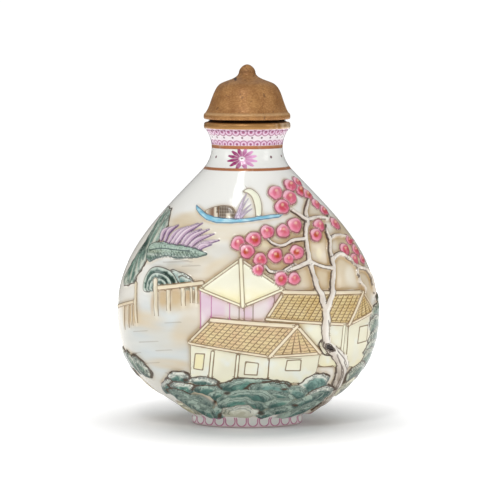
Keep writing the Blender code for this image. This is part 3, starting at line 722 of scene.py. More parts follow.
for across, up, wide, high in (
    (-16.6, 24.6, 1.0, 2.6), (-14.0, 24.9, 1.2, 2.4), (-11.6, 25.3, 0.9, 2.0), (-18.6, 23.2, 0.7, 2.6),
    (-9.6, 25.4, 0.8, 2.0), (-22.6, 21.6, 1.4, 2.6),
):
    soft_patch(front, across, up, wide, high, enamel(206, 178, 134), 0.55)
for across, top, foot, width in (
    (-24.0, 23.4, 18.0, 0.5), (-23.2, 23.2, 18.4, 0.45), (-22.5, 23.2, 18.9, 0.4), (-21.7, 27.5, 19.2, 0.7),
    (-15.4, 26.2, 21.8, 0.8), (-12.5, 26.8, 22.9, 0.85), (-10.9, 26.9, 23.3, 0.5), (-9.95, 26.9, 23.2, 0.6),
):
    pole(front, (across, foot), (across, top), width)
bar(front, [(-25.2, 23.0), (-22.2, 23.9)], 0.6, RIDGE, 0.45, OCHRE_INK, 0.2, 0.6)
bar(front, [(-17.3, 26.6), (-8.8, 27.6)], 0.85, RIDGE, 0.5, OCHRE_INK, 0.22, 0.8)
pole(front, (-17.8, 20.8), (-17.8, 28.1), 0.9)
print("fence laid")

# %% [markdown]
# ## Boat
#
# A thin sky-blue hull with a curled stern, a woven brown cabin, a fan of purple cloth and a cream sail.

# %% Hull, cabin and sails
CABIN = [
    (-8.1, 41.5), (-7.2, 42.2), (-5.8, 42.6), (-4.5, 42.75), (-3.1, 42.5), (-2.4, 41.7), (-2.15, 40.2),
    (-4.5, 39.9), (-6.6, 40.3),
]
here, depth = panel(front, curve(CABIN, closed=True))
x, z = here.xz
here.cover(depth, enamel(228, 216, 196))
weave = 0.5 + 0.5 * np.sin(x * 6.5 + z * 5.5) * np.sin(x * 6.5 - z * 5.5)
lattice = smooth((x + 5.7) / 0.3) * smooth(1.4 - (x + 4.3) / 0.4) + smooth((x + 3.3) / 0.3)
lattice = np.maximum(lattice, smooth((z - 41.9) / 0.35) * (x > -5.8))
here.glaze(depth, np.clip(lattice, 0, 1) * (0.6 + 0.4 * weave), enamel(70, 46, 26))
here.glaze(depth, smooth((x + 8.2) / 1.6) * smooth((-6.1 - x) / 0.3) * 0.9, enamel(122, 86, 60))
here.lift(depth, 0.55)
here.line(depth, 0.2, enamel(120, 92, 56), 0.9)
brush(front, [(-5.4, 42.6), (-5.5, 40.2)], 0.22, enamel(110, 80, 46), 0.9)

for foot, tip, widest in (
    ((-2.0, 40.4), (-0.1, 45.2), 0.32), ((-1.7, 40.3), (0.7, 43.0), 0.2),
    ((-1.3, 40.3), (0.9, 42.2), 0.2), ((-1.8, 40.4), (0.2, 44.2), 0.2),
):
    bend = (between(foot[0], tip[0], 0.4), between(foot[1], tip[1], 0.5))
    here, away, share, side = stroke(front, curve([foot, bend, tip]), 0.7)
    half = widest * (1.15 - share)
    depth = half - away
    here.cover(depth, enamel(232, 220, 232))
    here.wash(smooth(depth / 0.15) * smooth(0.5 - side * away / half) * 0.8, enamel(170, 132, 180))
    here.lift(depth, 0.35, 0.25)
    here.line(depth, 0.16, PURPLE_INK, 0.5)

SAIL = [
    (-0.8, 45.6), (0.2, 46.1), (1.0, 45.9), (2.2, 44.8), (2.8, 42.8), (2.65, 40.5), (1.75, 40.5),
    (1.5, 42.4), (1.0, 44.2), (0.2, 45.1), (-0.6, 45.4),
]
here, depth = panel(front, curve(SAIL, closed=True))
here.cover(depth, enamel(240, 240, 218))
here.lift(depth, 0.5)
here.line(depth, 0.18, WALL_INK, 0.7)
brush(front, [(-0.3, 46.6), (0.1, 46.1)], 0.16, OCHRE_INK, 0.5)

HULL = [
    (-9.9, 42.9), (-8.8, 41.9), (-7.8, 41.0), (-6.3, 40.4), (-4.5, 40.1), (-2.2, 40.0), (0.0, 40.25),
    (2.3, 40.55), (4.5, 40.95), (6.9, 41.0), (6.2, 40.5), (3.0, 40.05), (0.0, 39.6), (-3.0, 39.35),
    (-6.0, 39.4), (-7.9, 40.0), (-9.1, 41.0), (-9.8, 42.0),
]
here, depth = panel(front, HULL)
x, z = here.xz
here.cover(depth, SKY_BLUE)
here.wash(inside(depth) * smooth(2.2 * cloud(x, z * 3, 1.4, 4) - 0.6), enamel(176, 220, 232))
here.lift(depth, 0.7, 0.35)
here.line(depth, 0.16, enamel(50, 110, 140), 0.8)
print("boat laid")

# %% [markdown]
# ## Pavilion
#
# A hipped roof of plain cream and yellow between raised ribs, on lilac walls with thin pillars.

# %% Pavilion
LEFT_EAVE, PEAK, RIGHT_EAVE, FRONT_EAVE = (-9.2, 26.4), (-1.25, 32.2), (7.1, 26.4), (-0.85, 23.0)
WALLS_END = 17.6
here, depth = panel(front, [LEFT_EAVE, FRONT_EAVE, RIGHT_EAVE, (7.1, WALLS_END), (-9.1, WALLS_END)])
here.cover(depth, enamel(226, 217, 215))
here.glaze(depth, here.patches(2.6, 8, 1.9, 0.5) * 0.75, LILAC)
here.lift(depth, 0.4)
here.line(depth, 0.18, PUCE_INK, 0.6)
brush(front, [(-9.1, 25.9), (-9.1, 18.9)], 0.24, PUCE_INK, 0.75)
for across, top, tone in (
    (-6.95, 25.3, PUCE_INK), (-3.4, 24.2, PUCE_INK), (-1.55, 23.2, OCHRE_INK), (-0.55, 23.2, OCHRE_INK),
    (1.15, 23.8, OCHRE_INK), (5.3, 25.6, OCHRE_INK),
):
    brush(front, [(across, top), (across - 0.05, WALLS_END)], 0.2, tone, 0.7)
here, depth = panel(front, [LEFT_EAVE, PEAK, RIGHT_EAVE, FRONT_EAVE])
x, z = here.xz
here.cover(depth, enamel(238, 236, 214))
here.glaze(depth, smooth((29.6 - z) / 5.0) * (0.3 + 0.7 * cloud(x, z, 2.6, 9)), YELLOW)
here.glaze(depth, here.patches(2.0, 10, 1.7, 0.8) * 0.6, enamel(246, 246, 236))
here.lift(depth, 0.75, 0.4)
here.line(depth, 0.2, OCHRE_INK, 0.8)
for start, end, width in (
    (LEFT_EAVE, PEAK, 0.5), (PEAK, RIGHT_EAVE, 0.5), (LEFT_EAVE, FRONT_EAVE, 0.52),
    (FRONT_EAVE, RIGHT_EAVE, 0.52), (PEAK, FRONT_EAVE, 0.7),
):
    bar(front, [start, end], width, enamel(240, 234, 206), 0.95, OCHRE_INK, 0.18, 0.75)
print("pavilion laid")

# %% [markdown]
# ## Tiled houses
#
# A long roof with one hip, seen from the eave. The tile rows need lines finer than the grid, so the grid
# only carries tile coordinates: columns from eave left to right and rows from ridge to eave. They run
# evenly across the panel, so the material can rule crisp lines between grid points.

# %% Roof and walls of a house
def roof_panel(face, corners, across_count, down_count, tone, tall):
    """A quad from ridge left, ridge right, eave right, eave left with bilinear tile coordinates.

    The coordinates of each point are found by eight Newton steps on the quad's bilinear formula.
    """
    here, depth = panel(face, corners)
    a, b, c, d = face.unroll(corners)
    u, v = np.full(len(depth), 0.5), np.full(len(depth), 0.5)
    for _ in range(8):
        top, low = a + u[:, None] * (b - a), d + u[:, None] * (c - d)
        miss = top + v[:, None] * (low - top) - here.unrolled
        du = (b - a) * (1 - v[:, None]) + (c - d) * v[:, None]
        dv = low - top
        det = du[:, 0] * dv[:, 1] - du[:, 1] * dv[:, 0]
        det = np.where(np.abs(det) < 1e-6, 1e-6, det)
        u = u - (miss[:, 0] * dv[:, 1] - miss[:, 1] * dv[:, 0]) / det
        v = v - (du[:, 0] * miss[:, 1] - du[:, 1] * miss[:, 0]) / det
    here.cover(depth, TILE)
    here.glaze(depth, here.patches(1.7, 11, 1.7, 0.45) * 0.45, tone)
    here.glaze(depth, here.patches(1.2, 12, 1.7, 0.6) * 0.6, enamel(226, 208, 156))
    ridged = 0.06 * np.cos(2 * math.pi * u * across_count)
    here.lift(depth, tall + ridged)
    tiled = depth > -0.25
    tiles[here.at[tiled]] = np.stack([u * across_count, v * down_count, depth], -1)[tiled]


def window(face, corners, tone=YELLOW):
    """A light pane with an inked and slightly raised frame."""
    here, depth = panel(face, corners)
    here.glaze(depth, 0.45, tone)
    here.line(depth, 0.2, WALL_INK, 0.9)
    relief[here.at[np.abs(depth) < 0.3]] += 0.08


def house(face, eave_left, ridge_left, ridge_right, eave_right, gable, foot, corner_foot, wall_tall,
          roof_tall, tiles_across, tiles_down, tone):
    """Walls, front roof, hip roof, then the raised bars on ridge, hip, rake and eave."""
    wall_top = [(eave_left[0] + 0.35, eave_left[1]), eave_right, gable]
    here, depth = panel(face, [*wall_top, (gable[0] - 1.0, foot), (eave_left[0] + 0.3, foot)])
    x, z = here.xz
    here.cover(depth, CREAM)
    here.glaze(depth, 0.5 * cloud(x, z, 3.4, 15), enamel(206, 200, 176))
    here.glaze(depth, smooth((foot + 4.0 - z) / 4.0) * (0.05 + 0.55 * cloud(x, z, 2.2, 13)), YELLOW * 0.96)
    here.glaze(depth, here.patches(2.0, 14, 1.9, 0.9) * 0.7, enamel(226, 232, 230))
    here.lift(depth, wall_tall)
    here.line(depth, 0.2, WALL_INK, 0.85)
    brush(face, [eave_right, (corner_foot, foot)], 0.22, WALL_INK, 0.95)
    front_roof = [ridge_left, ridge_right, eave_right, eave_left]
    roof_panel(face, front_roof, tiles_across, tiles_down, tone, roof_tall)
    near_peak = tuple(between(ridge, eave, 0.04) for ridge, eave in zip(ridge_right, eave_right))
    hip_roof = [near_peak, ridge_right, gable, (eave_right[0] + 0.3, eave_right[1])]
    roof_panel(face, hip_roof, 5, tiles_down, tone, roof_tall)
    for start, end, width in (
        (eave_left, ridge_left, 0.55), (ridge_left, ridge_right, 0.8), (eave_left, eave_right, 0.55),
        (eave_right, gable, 0.55), (ridge_right, gable, 0.65), (ridge_right, eave_right, 0.65),
    ):
        bar(face, [start, end], width, RIDGE, roof_tall + 0.15, OCHRE_INK, 0.18, 0.85)


house(front, (3.7, 20.5), (7.1, 25.8), (22.2, 25.8), (19.6, 19.5), (24.3, 22.2), 11.5, 19.0, 0.5, 0.7,
      15, 10, enamel(200, 164, 96))
bar(front, [(18.8, 19.2), (18.3, 14.2)], 0.6, CREAM, 0.6, WALL_INK, 0.18, 0.8)
window(front, [(21.7, 19.0), (23.3, 19.4), (23.0, 16.3), (21.3, 15.8)], CREAM)
brush(front, [(13.4, 11.5), (14.9, 11.1), (16.6, 11.4)], 0.24, OCHRE_INK, 0.9)

house(front, (-11.35, 15.95), (-6.9, 20.4), (9.6, 19.2), (4.3, 13.3), (14.05, 14.0), 8.2, 3.9, 0.75, 0.95,
      14, 9, TILE_PINK)
window(front, [(-10.0, 13.9), (-8.2, 13.8), (-8.55, 10.7), (-10.3, 11.0)])
window(front, [(-0.3, 12.3), (2.2, 12.0), (1.9, 9.75), (-0.6, 9.85)], CREAM)
window(front, [(7.7, 12.55), (10.4, 12.7), (10.2, 10.6), (7.3, 10.6)], CREAM)
bar(front, [(-6.65, 14.1), (-7.15, 9.0)], 0.65, CREAM, 0.85, WALL_INK, 0.2, 0.9)
bar(front, [(-1.78, 13.4), (-2.22, 8.8)], 0.6, CREAM, 0.85, WALL_INK, 0.2, 0.9)
print("houses laid")

# %% [markdown]
# ## Plum tree
#
# A tan wash fills the spaces between the branches. The branches are half-round strips with a dark line,
# heavier on their lower side. The blossoms are round beads with a pink rim, a rose cup and an orange
# heart.

# %% Tan wash behind the tree
for across, up, wide, high, strength, tilt, seed in (
    (16.5, 29.0, 9.0, 5.5, 0.9, 0, 21), (19.5, 36.0, 5.0, 6.0, 0.85, 40, 22),
    (13.8, 36.4, 3.6, 4.4, 0.85, 0, 27), (9.4, 37.6, 2.4, 1.8, 0.6, 0, 28),
    (7.0, 34.6, 7.0, 2.4, 0.8, 8, 23), (6.6, 31.0, 4.4, 1.6, 0.75, 6, 24),
    (13.4, 41.4, 3.6, 2.8, 0.7, -30, 25), (23.0, 28.0, 3.0, 6.0, 0.8, 10, 26),
):
    here, share, _, _ = lobe(front, across, up, wide, high, tilt, margin=1.1)
    free = (relief[here.at] < 0.05) * 1.0
    here.wash(free * strength * smooth(share * 2.2) * (0.8 + 0.3 * cloud(*here.xz, 2.0, seed)), TAN)
for patch in (
    (20.4, 29.2, 2.2, 3.0, enamel(236, 230, 214), 0.9), (14.1, 33.4, 0.9, 1.5, enamel(236, 226, 190), 0.6),
    (3.6, 35.2, 1.6, 0.8, enamel(238, 230, 200), 0.7), (0.2, 31.9, 1.8, 1.0, enamel(232, 222, 204), 0.8),
):
    soft_patch(front, *patch)

# %% Branches
TREE = [
    [(13.6, 2.6, 3.8), (15.4, 5.0, 3.4), (17.0, 7.2, 3.0), (18.4, 10.0, 2.6), (18.0, 12.7, 2.7),
     (16.1, 14.9, 2.6), (15.2, 17.2, 1.9), (15.3, 20.6, 1.6), (15.4, 22.8, 1.9)],
    [(15.2, 22.8, 1.5), (13.7, 26.6, 1.2), (12.4, 30.8, 1.1), (11.6, 34.9, 1.0), (11.4, 38.0, 0.95),
     (11.7, 40.0, 1.1), (11.3, 42.0, 0.8), (11.9, 44.6, 0.6)],
    [(15.7, 23.1, 1.4), (16.6, 27.3, 1.1), (16.6, 31.5, 1.1), (16.0, 35.8, 0.9), (17.5, 36.9, 0.7),
     (19.4, 36.4, 0.6), (20.6, 35.6, 0.5)],
    [(16.7, 32.3, 0.9), (18.0, 33.3, 0.9), (19.7, 32.3, 0.9), (21.6, 30.7, 0.9), (23.2, 30.1, 0.8),
     (24.1, 27.6, 0.7), (24.7, 25.2, 0.5)],
    [(11.8, 31.6, 1.0), (9.0, 30.4, 0.9), (6.8, 29.8, 0.8), (4.7, 29.8, 0.7), (3.5, 30.9, 0.6)],
    [(11.2, 36.2, 0.8), (8.8, 35.9, 0.8), (6.9, 34.9, 0.7), (5.2, 35.3, 0.6), (3.8, 36.3, 0.5)],
    [(11.5, 39.8, 0.9), (10.0, 40.9, 0.8), (8.2, 42.1, 0.6)],
    [(11.6, 39.9, 0.8), (14.0, 40.4, 0.8), (15.6, 40.2, 0.6), (14.6, 42.6, 0.5)],
    [(12.3, 31.8, 0.8), (14.3, 30.9, 0.7), (16.2, 30.5, 0.8)],
    [(16.0, 35.8, 0.7), (15.4, 37.6, 0.6), (15.2, 39.0, 0.4)],
    [(21.4, 30.6, 0.5), (21.7, 28.2, 0.6), (22.7, 26.9, 0.5), (22.9, 25.6, 0.4)],
    [(6.8, 29.8, 0.5), (8.0, 30.6, 0.5), (9.4, 31.4, 0.4)],
]


def branch(face, path):
    """A tapering half-round strip measured through space, with painted shade and a heavier line below and
    to the right, and painted highlights above.
    """
    path = curve(path)
    path[1:-1, 0] += 0.5 * (cloud(path[1:-1, 0] * 0.4, path[1:-1, 1], 1.1, 30) - 0.5)
    side, level = seen(path)
    centre = surface(side, level)
    width = path[:, 2]
    reach = np.abs(face.place[:, None, :] - centre[None, ::4, :]).max(2).min(1)
    here = Spot(face, np.flatnonzero(reach < width.max() / 2 + 1.6))
    away, share, _ = to_line(here.place, centre)
    _, _, side = to_line(here.unrolled, face.unroll(path[::3, :2]))
    half = np.interp(share, np.linspace(0, 1, len(width)), width) / 2
    x, z = here.xz
    half = half * (0.7 + 0.46 * cloud(x, z, 0.8, 31))
    depth = half - away
    here.cover(depth, enamel(234, 228, 218))
    here.glaze(depth, smooth(1.6 * cloud(x, z * 0.5, 0.8, 32) - 0.7) * 0.6, enamel(176, 164, 160))
    # Painted shade on the lower, right side of the branch.
    here.glaze(depth, smooth(0.35 + side * away / half * 0.8) * 0.4, enamel(176, 152, 128))
    # Painted highlight in patches on the upper, left side.
    pale = smooth(0.4 - side * away / half) * here.patches(1.2, 34, 1.8, 0.6)
    here.glaze(depth, pale * 0.8, enamel(250, 246, 236))
    bare = smooth((13.5 - z) / 3.5) * 0.75 * smooth(1.9 * cloud(x * 2.4, z, 1.0, 33) - 0.2)
    here.glaze(depth, bare, enamel(128, 112, 94))
    here.speckle(depth, smooth((12.0 - z) / 6.0) * 0.4)
    here.lift(depth, 0.4 + 0.55 * half_round(away / half))
    between_ends = (share > 0.004) & (share < 0.996)
    here.line(depth, 0.2, BARK_INK, 0.9, (side > 0) & between_ends)
    here.line(depth, 0.15, BARK_INK, 0.7, (side <= 0) & between_ends & (cloud(x, z, 1.3, 35) > 0.36))


for path in TREE:
    branch(front, path)
knot, share, _, _ = lobe(front, 15.9, 15.0, 1.1, 0.6, -34, 0.08, 4)
knot.wash(smooth(share * 6), enamel(38, 25, 18))
relief[knot.at] -= 0.45 * smooth(share * 2.5)
knot.line(share * 0.8, 0.2, BARK_INK, 0.9)
brush(front, curve([(14.3, 16.4), (13.9, 15.4), (14.8, 13.7), (16.3, 13.4)]), 0.26, BARK_INK)
for marks in (
    [(17.6, 12.6), (18.4, 10.6), (17.6, 8.0), (16.2, 5.6)], [(18.6, 12.2), (19.2, 10.2), (18.4, 7.6)],
    [(16.8, 8.4), (16.0, 6.6), (15.0, 5.0)], [(17.2, 13.6), (18.0, 11.6), (17.9, 9.6), (16.9, 7.4)],
    [(15.6, 20.2), (15.9, 18.2), (15.8, 16.6)], [(17.4, 14.4), (18.9, 12.4), (19.5, 9.8)],
):
    brush(front, curve(marks), 0.24, BARK_INK, 0.75, 0.5)
print("tree laid")

# %% Blossoms
SPRAYS = [
    (1.43, [(-1.7, 35.35), (1.25, 36.15), (3.85, 37.6), (6.95, 37.75), (9.2, 38.9)]),
    (1.4, [(0.0, 33.75), (2.5, 32.2), (5.45, 33.0), (9.6, 33.6)]),
    (1.1, [(8.0, 32.3), (2.1, 30.15)]),
    (1.3, [(6.6, 28.4), (9.1, 28.45)]),
    (1.5, [(5.45, 45.25), (8.1, 44.25), (6.65, 42.45), (10.2, 45.75)]),
    (1.35, [(8.2, 46.6), (11.7, 44.9), (13.4, 43.1)]),
    (1.2, [(9.7, 47.4), (14.9, 41.8)]),
    (1.35, [(13.9, 38.85), (13.3, 36.95), (17.1, 39.3), (19.0, 34.2)]),
    (1.2, [(19.8, 36.0), (21.1, 34.1), (20.9, 32.3), (22.4, 32.3)]),
]

DEEP_HEARTS, DEEP_TONE, PALE_TONE = (1, 5, 7, 8, 11, 16, 18, 23), 0.95, 0.3


def blossom(face, across, up, radius, seed, heart_tone):
    """Bead on the skin with painted highlights and painted shade. Its heart leans down and to one side, and
    a pale ring of slip runs round it.
    """
    here, gap, t = ball(face, across, up, radius)
    bearing = np.arctan2(gap[:, 2], gap[:, 0])
    t = t * (1 + 0.05 * np.sin(3 * bearing + 2.1 * seed) + 0.03 * np.sin(5 * bearing + seed))
    depth = (1 - t) * radius
    halo = smooth((1.24 - t) / 0.16)
    here.wash(halo * 0.6, enamel(226, 214, 206))
    here.cover(depth, PINK)
    # Painted highlight: a pale glaze on the upper left of the bead.
    lit = (0.8 * gap[:, 2] - 0.6 * gap[:, 0]) / radius
    here.glaze(depth, smooth((lit - 0.2) / 0.7) * 0.6, enamel(252, 226, 232))
    cup = np.hypot(gap[:, 0] - 0.1 * radius, np.hypot(gap[:, 1] * 0.8, gap[:, 2] + 0.1 * radius)) / radius
    here.glaze(depth, smooth((0.78 - cup) / 0.26) * (0.78 + 0.2 * math.sin(seed * 1.3)), ROSE)
    lean = 0.2 * radius
    beside_heart, over_heart = gap[:, 0] - lean * math.sin(seed * 2.1), gap[:, 2] + 0.4 * lean
    heart = np.hypot(beside_heart, np.hypot(gap[:, 1] * 0.6, over_heart)) / radius
    here.wash(smooth((0.5 - heart) / 0.2) * heart_tone, ORANGE)
    # A small peach painted highlight just above the middle.
    painted_highlight = np.hypot(gap[:, 0] + 0.05 * radius, gap[:, 2] - 0.14 * radius) / radius
    here.wash(smooth((0.26 - painted_highlight) / 0.16) * 0.75, PEACH)
    here.glaze(depth, here.patches(0.8, seed, 1.8, 0.9) * 0.45, enamel(244, 186, 202))
    # Painted shade: the lower right is darkened towards the rim.
    here.glaze(depth, smooth(0.1 - lit) * smooth((t - 0.6) / 0.3) * 0.55, enamel(182, 62, 92))
    side, _ = seen([(across, up)])
    flat = 1 - 0.6 * smooth((abs(side[0]) - 0.65) / 0.5)
    dome = 0.5 * half_round(t)
    dimple = -0.06 * np.exp(-((t - 0.66) / 0.12) ** 2) + 0.08 * smooth((0.32 - t) / 0.16)
    here.lift(depth, (0.52 + dome + dimple) * flat, 0.26)
    relief[here.at] += 0.1 * np.exp(-((t - 1.12) / 0.07) ** 2) * (t > 1)
    here.line(depth, 0.17, enamel(136, 50, 76), 0.8)
    here.line((1.2 - t) * radius, 0.14, WALL_INK, 0.4)


count = 0
for radius, flowers in SPRAYS:
    for across, up in flowers:
        heart_tone = DEEP_TONE if count in DEEP_HEARTS else PALE_TONE
        blossom(front, across, up, radius * (0.96 + 0.06 * math.sin(count * 1.9)), count, heart_tone)
        count += 1
print(count, "blossoms laid")

# %% [markdown]
# ## Rocks
#
# Overlapping lobes, each white along its crest, teal below and nearly black-green where the next one
# starts. Combed lines follow the crest, like the bristle marks of a loaded brush.

# %% Rocks along the bottom
def rock(face, across, up, wide, high, tilt, tall, light=GREEN_WHITE, mid=TEAL, dark=DEEP_TEAL, seed=0,
         crest_ink=BARK_INK, crest=0.9, grainy=0.45):
    """One lobe: a ragged oval, pale at its crest and dark at its foot, with two bristle lines in it."""
    here, share, u, v = lobe(face, across, up, wide, high, tilt, 0.05, seed)
    x, z = here.xz
    scale = min(wide, high)
    rough, grain = cloud(x, z, 1.2, seed), cloud(x, z, 0.5, seed + 7)
    share = share + 0.2 * (rough - 0.5) + 0.1 * (grain - 0.5)
    depth = share * scale
    here.cover(depth, light)
    here.glaze(depth, smooth((depth - (0.1 + 0.9 * rough) * smooth(v + 0.6)) / 0.45), mid)
    here.glaze(depth, smooth((0.4 - v + 1.6 * (rough - 0.5)) / 0.9) * 0.9, dark)
    streak = cloud(u * 5.0, share * 16.0, 1.0, seed + 2)
    here.glaze(depth, smooth(2.6 * streak - 1.6) * 0.6 * smooth(share / 0.15), light)
    here.glaze(depth, smooth(1.4 - 2.9 * streak) * 0.8 * smooth(share / 0.15), dark)
    here.speckle(depth, smooth((share - 0.15) / 0.25) * grainy)
    here.lift(depth, tall * (0.7 + 0.3 * np.sqrt(np.clip(share * 1.8, 0, 1))) + 0.12 * (streak - 0.5), 0.45)
    for level in (0.2, 0.42):
        here.line((share - level) * scale, 0.13, TEAL_INK, 0.6, (v > -0.3) & (rough > 0.42))
    here.line(depth, 0.13 + 0.08 * (crest > 0.85), crest_ink, crest, (v > -0.3) & (rough > 0.62 - crest))


SIDE_ROCKS = [
    (26.0, 24.0, 3.4, 1.8, -12), (25.35, 21.2, 4.4, 2.7, 8), (25.0, 18.7, 3.6, 2.6, -10),
    (24.6, 16.4, 3.4, 2.4, 12), (24.0, 14.5, 3.4, 2.2, -4), (23.1, 12.4, 3.8, 2.6, 24),
    (21.0, 9.9, 3.4, 2.1, 26), (18.8, 7.3, 3.6, 1.6, 30),
]
for order, (across, up, wide, high, tilt) in enumerate(SIDE_ROCKS):
    last = order == len(SIDE_ROCKS) - 1
    pale, mid = (CREAM, enamel(178, 184, 166)) if last else (enamel(196, 202, 186), enamel(100, 126, 112))
    forward = 0.45 + 0.05 * order
    rock(front, across, up, wide, high, tilt, forward, pale, mid, enamel(62, 84, 74), 40 + order)

LEFT_ROCKS = [
    (-23.4, 12.9, 3.4, 1.4, -30), (-23.0, 10.9, 4.2, 1.6, -14), (-21.9, 11.8, 3.6, 1.3, -34),
    (-20.5, 11.1, 3.2, 1.2, -40),
]
for across, up, wide, high, tilt in ((-20.9, 8.4, 6.6, 1.5, -28), (-19.2, 6.4, 4.6, 1.3, -30)):
    rock(front, across, up, wide, high, tilt, 0.35, CREAM, enamel(216, 208, 184), enamel(192, 178, 146), 49,
         OCHRE_INK, 0.6, 0.0)
for order, (across, up, wide, high, tilt) in enumerate(LEFT_ROCKS):
    forward = 0.5 + 0.06 * order
    rock(front, across, up, wide, high, tilt, forward, enamel(200, 206, 194), enamel(88, 118, 102),
         enamel(48, 70, 62), 30 + order)

ROCKS = [
    (-13.4, 9.0, 2.8, 1.35, 4), (-8.5, 8.4, 3.1, 1.0, -4), (-15.1, 7.3, 2.0, 1.7, 24),
    (-12.4, 7.2, 2.9, 1.3, -6), (13.1, 8.0, 3.1, 2.0, 12), (13.9, 5.9, 3.3, 1.7, 20),
    (1.4, 7.3, 7.4, 1.85, -1), (5.0, 6.7, 5.0, 1.7, -8), (-7.4, 6.7, 2.9, 1.25, -4),
    (-12.6, 5.7, 3.0, 1.3, -18), (9.7, 6.3, 2.0, 1.4, -10), (6.1, 5.6, 3.3, 1.2, -10),
    (-4.8, 5.6, 2.8, 1.3, -10), (-10.4, 4.9, 4.2, 1.1, -14), (0.0, 4.8, 5.6, 2.3, 0),
    (5.9, 4.3, 2.9, 1.2, 6), (9.8, 4.3, 5.6, 1.1, 20), (-9.4, 3.8, 4.6, 1.1, -20),
    (-1.2, 3.7, 4.7, 2.0, 0), (10.2, 3.1, 5.2, 1.0, 20), (5.6, 2.9, 3.6, 0.9, 14),
    (-7.8, 2.7, 3.4, 1.0, -27), (-5.4, 2.4, 1.6, 1.4, -20), (3.4, 2.2, 2.0, 0.9, 14),
]
PALE_ONES, STRONG_CRESTS = 6, 10
for order, (across, up, wide, high, tilt) in enumerate(ROCKS):
    forward = 0.8 + 0.45 * order / len(ROCKS)
    pale = enamel(226, 228, 216) if order < PALE_ONES else enamel(170, 188, 174)
    mid = (TEAL, enamel(120, 156, 146), enamel(82, 122, 112))[order % 3]
    crest_ink, crest = (BARK_INK, 0.95) if order < STRONG_CRESTS else (TEAL_INK, 0.45)
    rock(front, across, up, wide, high, tilt, forward, pale, mid, DEEP_TEAL, order, crest_ink, crest)
rock(front, -11.4, 3.0, 3.0, 0.8, -24, 0.6, CREAM, enamel(214, 212, 182), enamel(176, 170, 136), 50,
     OCHRE_INK, 0.6, 0.0)
rock(front, -1.3, 2.75, 3.5, 1.5, 0, 1.3, enamel(232, 234, 222), enamel(222, 222, 206),
     enamel(186, 184, 160), 51, BROWN, 0.7, 0.0)
for across, up, wide, high in (
    (-8.4, 1.8, 0.8, 0.5), (-5.2, 2.2, 0.7, 1.0), (-6.3, 4.2, 0.6, 0.6), (-3.9, 6.3, 1.0, 0.5),
    (7.2, 7.1, 1.1, 0.35), (9.1, 4.2, 1.0, 0.5), (2.6, 2.6, 1.0, 0.5),
):
    soft_patch(front, across, up, wide, high, BROWN, 0.95)
print("rocks laid")

# %% [markdown]
# ## The other face
#
# The photographed face tells nothing of the back, so it has a plainer scene from the same hand: far
# hills, one house, a plum tree and rocks. It uses the same shapes of stroke, with fewer of them.

# %% Back of the bottle
for patch in (
    (2.0, 19.0, 22.0, 10.0, WATER, 0.7, 0, 0.6, 81), (0.0, 30.6, 17.0, 2.4, WATER, 0.7, 0, 0.6, 82),
    (-12.0, 31.0, 11.0, 6.0, SAND, 0.75, 0, 0.3, 83), (4.0, 24.0, 12.0, 4.0, PALE_SAND, 0.8, 0, 0.3, 84),
    (3.0, 11.6, 17.0, 2.4, SAND, 0.7, 0, 0.4, 85), (14.0, 40.0, 7.0, 3.4, SAND, 0.6, -30, 0.3, 86),
    (-18.0, 16.0, 6.0, 6.0, PALE_SAND, 0.7, 20, 0.3, 87), (17.0, 26.0, 6.0, 8.0, SAND, 0.5, 0, 0.3, 88),
):
    soft_patch(back, *patch)
for across, up, length in (
    (-6.4, 26.0, 3.6), (16.0, 18.4, 3.0), (17.6, 14.6, 2.6), (-9.0, 13.6, 2.4), (1.0, 28.2, 4.0),
    (6.0, 37.4, 3.0), (-1.4, 38.8, 2.4),
):
    ripple = [(across - length / 2, up), (across, up + 0.15), (across + length / 2, up)]
    brush(back, ripple, 0.22, WALL_INK, 0.35)
BACK_HILL = [
    (11.6, 31.2), (12.0, 34.0), (12.4, 37.0), (13.6, 39.6), (15.2, 40.2), (17.4, 38.4), (19.4, 36.0),
    (21.4, 32.4), (23.0, 28.6), (24.0, 24.6), (24.2, 20.6), (23.0, 21.2), (21.6, 24.4), (20.2, 26.2),
    (18.2, 28.6), (16.4, 29.6), (14.0, 30.6),
]
hill_ground(back, BACK_HILL, 0.4, 0.9, 47)
for marks, width in (
    ([(12.9, 38.0), (13.4, 34.6), (13.0, 31.4)], 1.3), ([(14.2, 39.4), (15.2, 35.4), (14.8, 31.0)], 1.4),
    ([(15.8, 39.2), (17.0, 34.8), (16.8, 30.2)], 1.4), ([(17.6, 37.8), (18.8, 33.4), (18.6, 28.8)], 1.4),
    ([(19.4, 35.6), (20.6, 31.0), (20.4, 26.6)], 1.4), ([(21.2, 32.4), (22.1, 28.2), (21.9, 24.6)], 1.3),
    ([(22.8, 28.4), (23.4, 24.8), (23.4, 21.6)], 1.2),
):
    rib(back, marks, width, 0.5, enamel(222, 230, 220), enamel(104, 146, 130), enamel(34, 52, 46), 0.9)
for order, (across, up, wide, high, tilt) in enumerate((
    (8.4, 32.6, 3.4, 1.0, 4), (3.6, 32.8, 3.6, 0.9, -3), (11.6, 31.6, 3.2, 1.2, 6),
    (-22.6, 12.0, 3.0, 2.4, -30), (-20.4, 9.0, 3.2, 2.2, -36),
)):
    rock(back, across, up, wide, high, tilt, 0.55, seed=90 + order, crest_ink=TEAL_INK, crest=0.8)
house(back, (-6.4, 17.0), (-3.4, 21.6), (11.2, 21.6), (8.0, 16.0), (13.2, 17.4), 9.8, 7.6, 0.65, 0.9,
      13, 9, TILE_PINK)
window(back, [(-3.6, 14.9), (-1.4, 14.8), (-1.6, 11.6), (-3.7, 11.7)])
window(back, [(9.2, 15.2), (11.6, 15.4), (11.4, 12.6), (9.1, 12.4)])
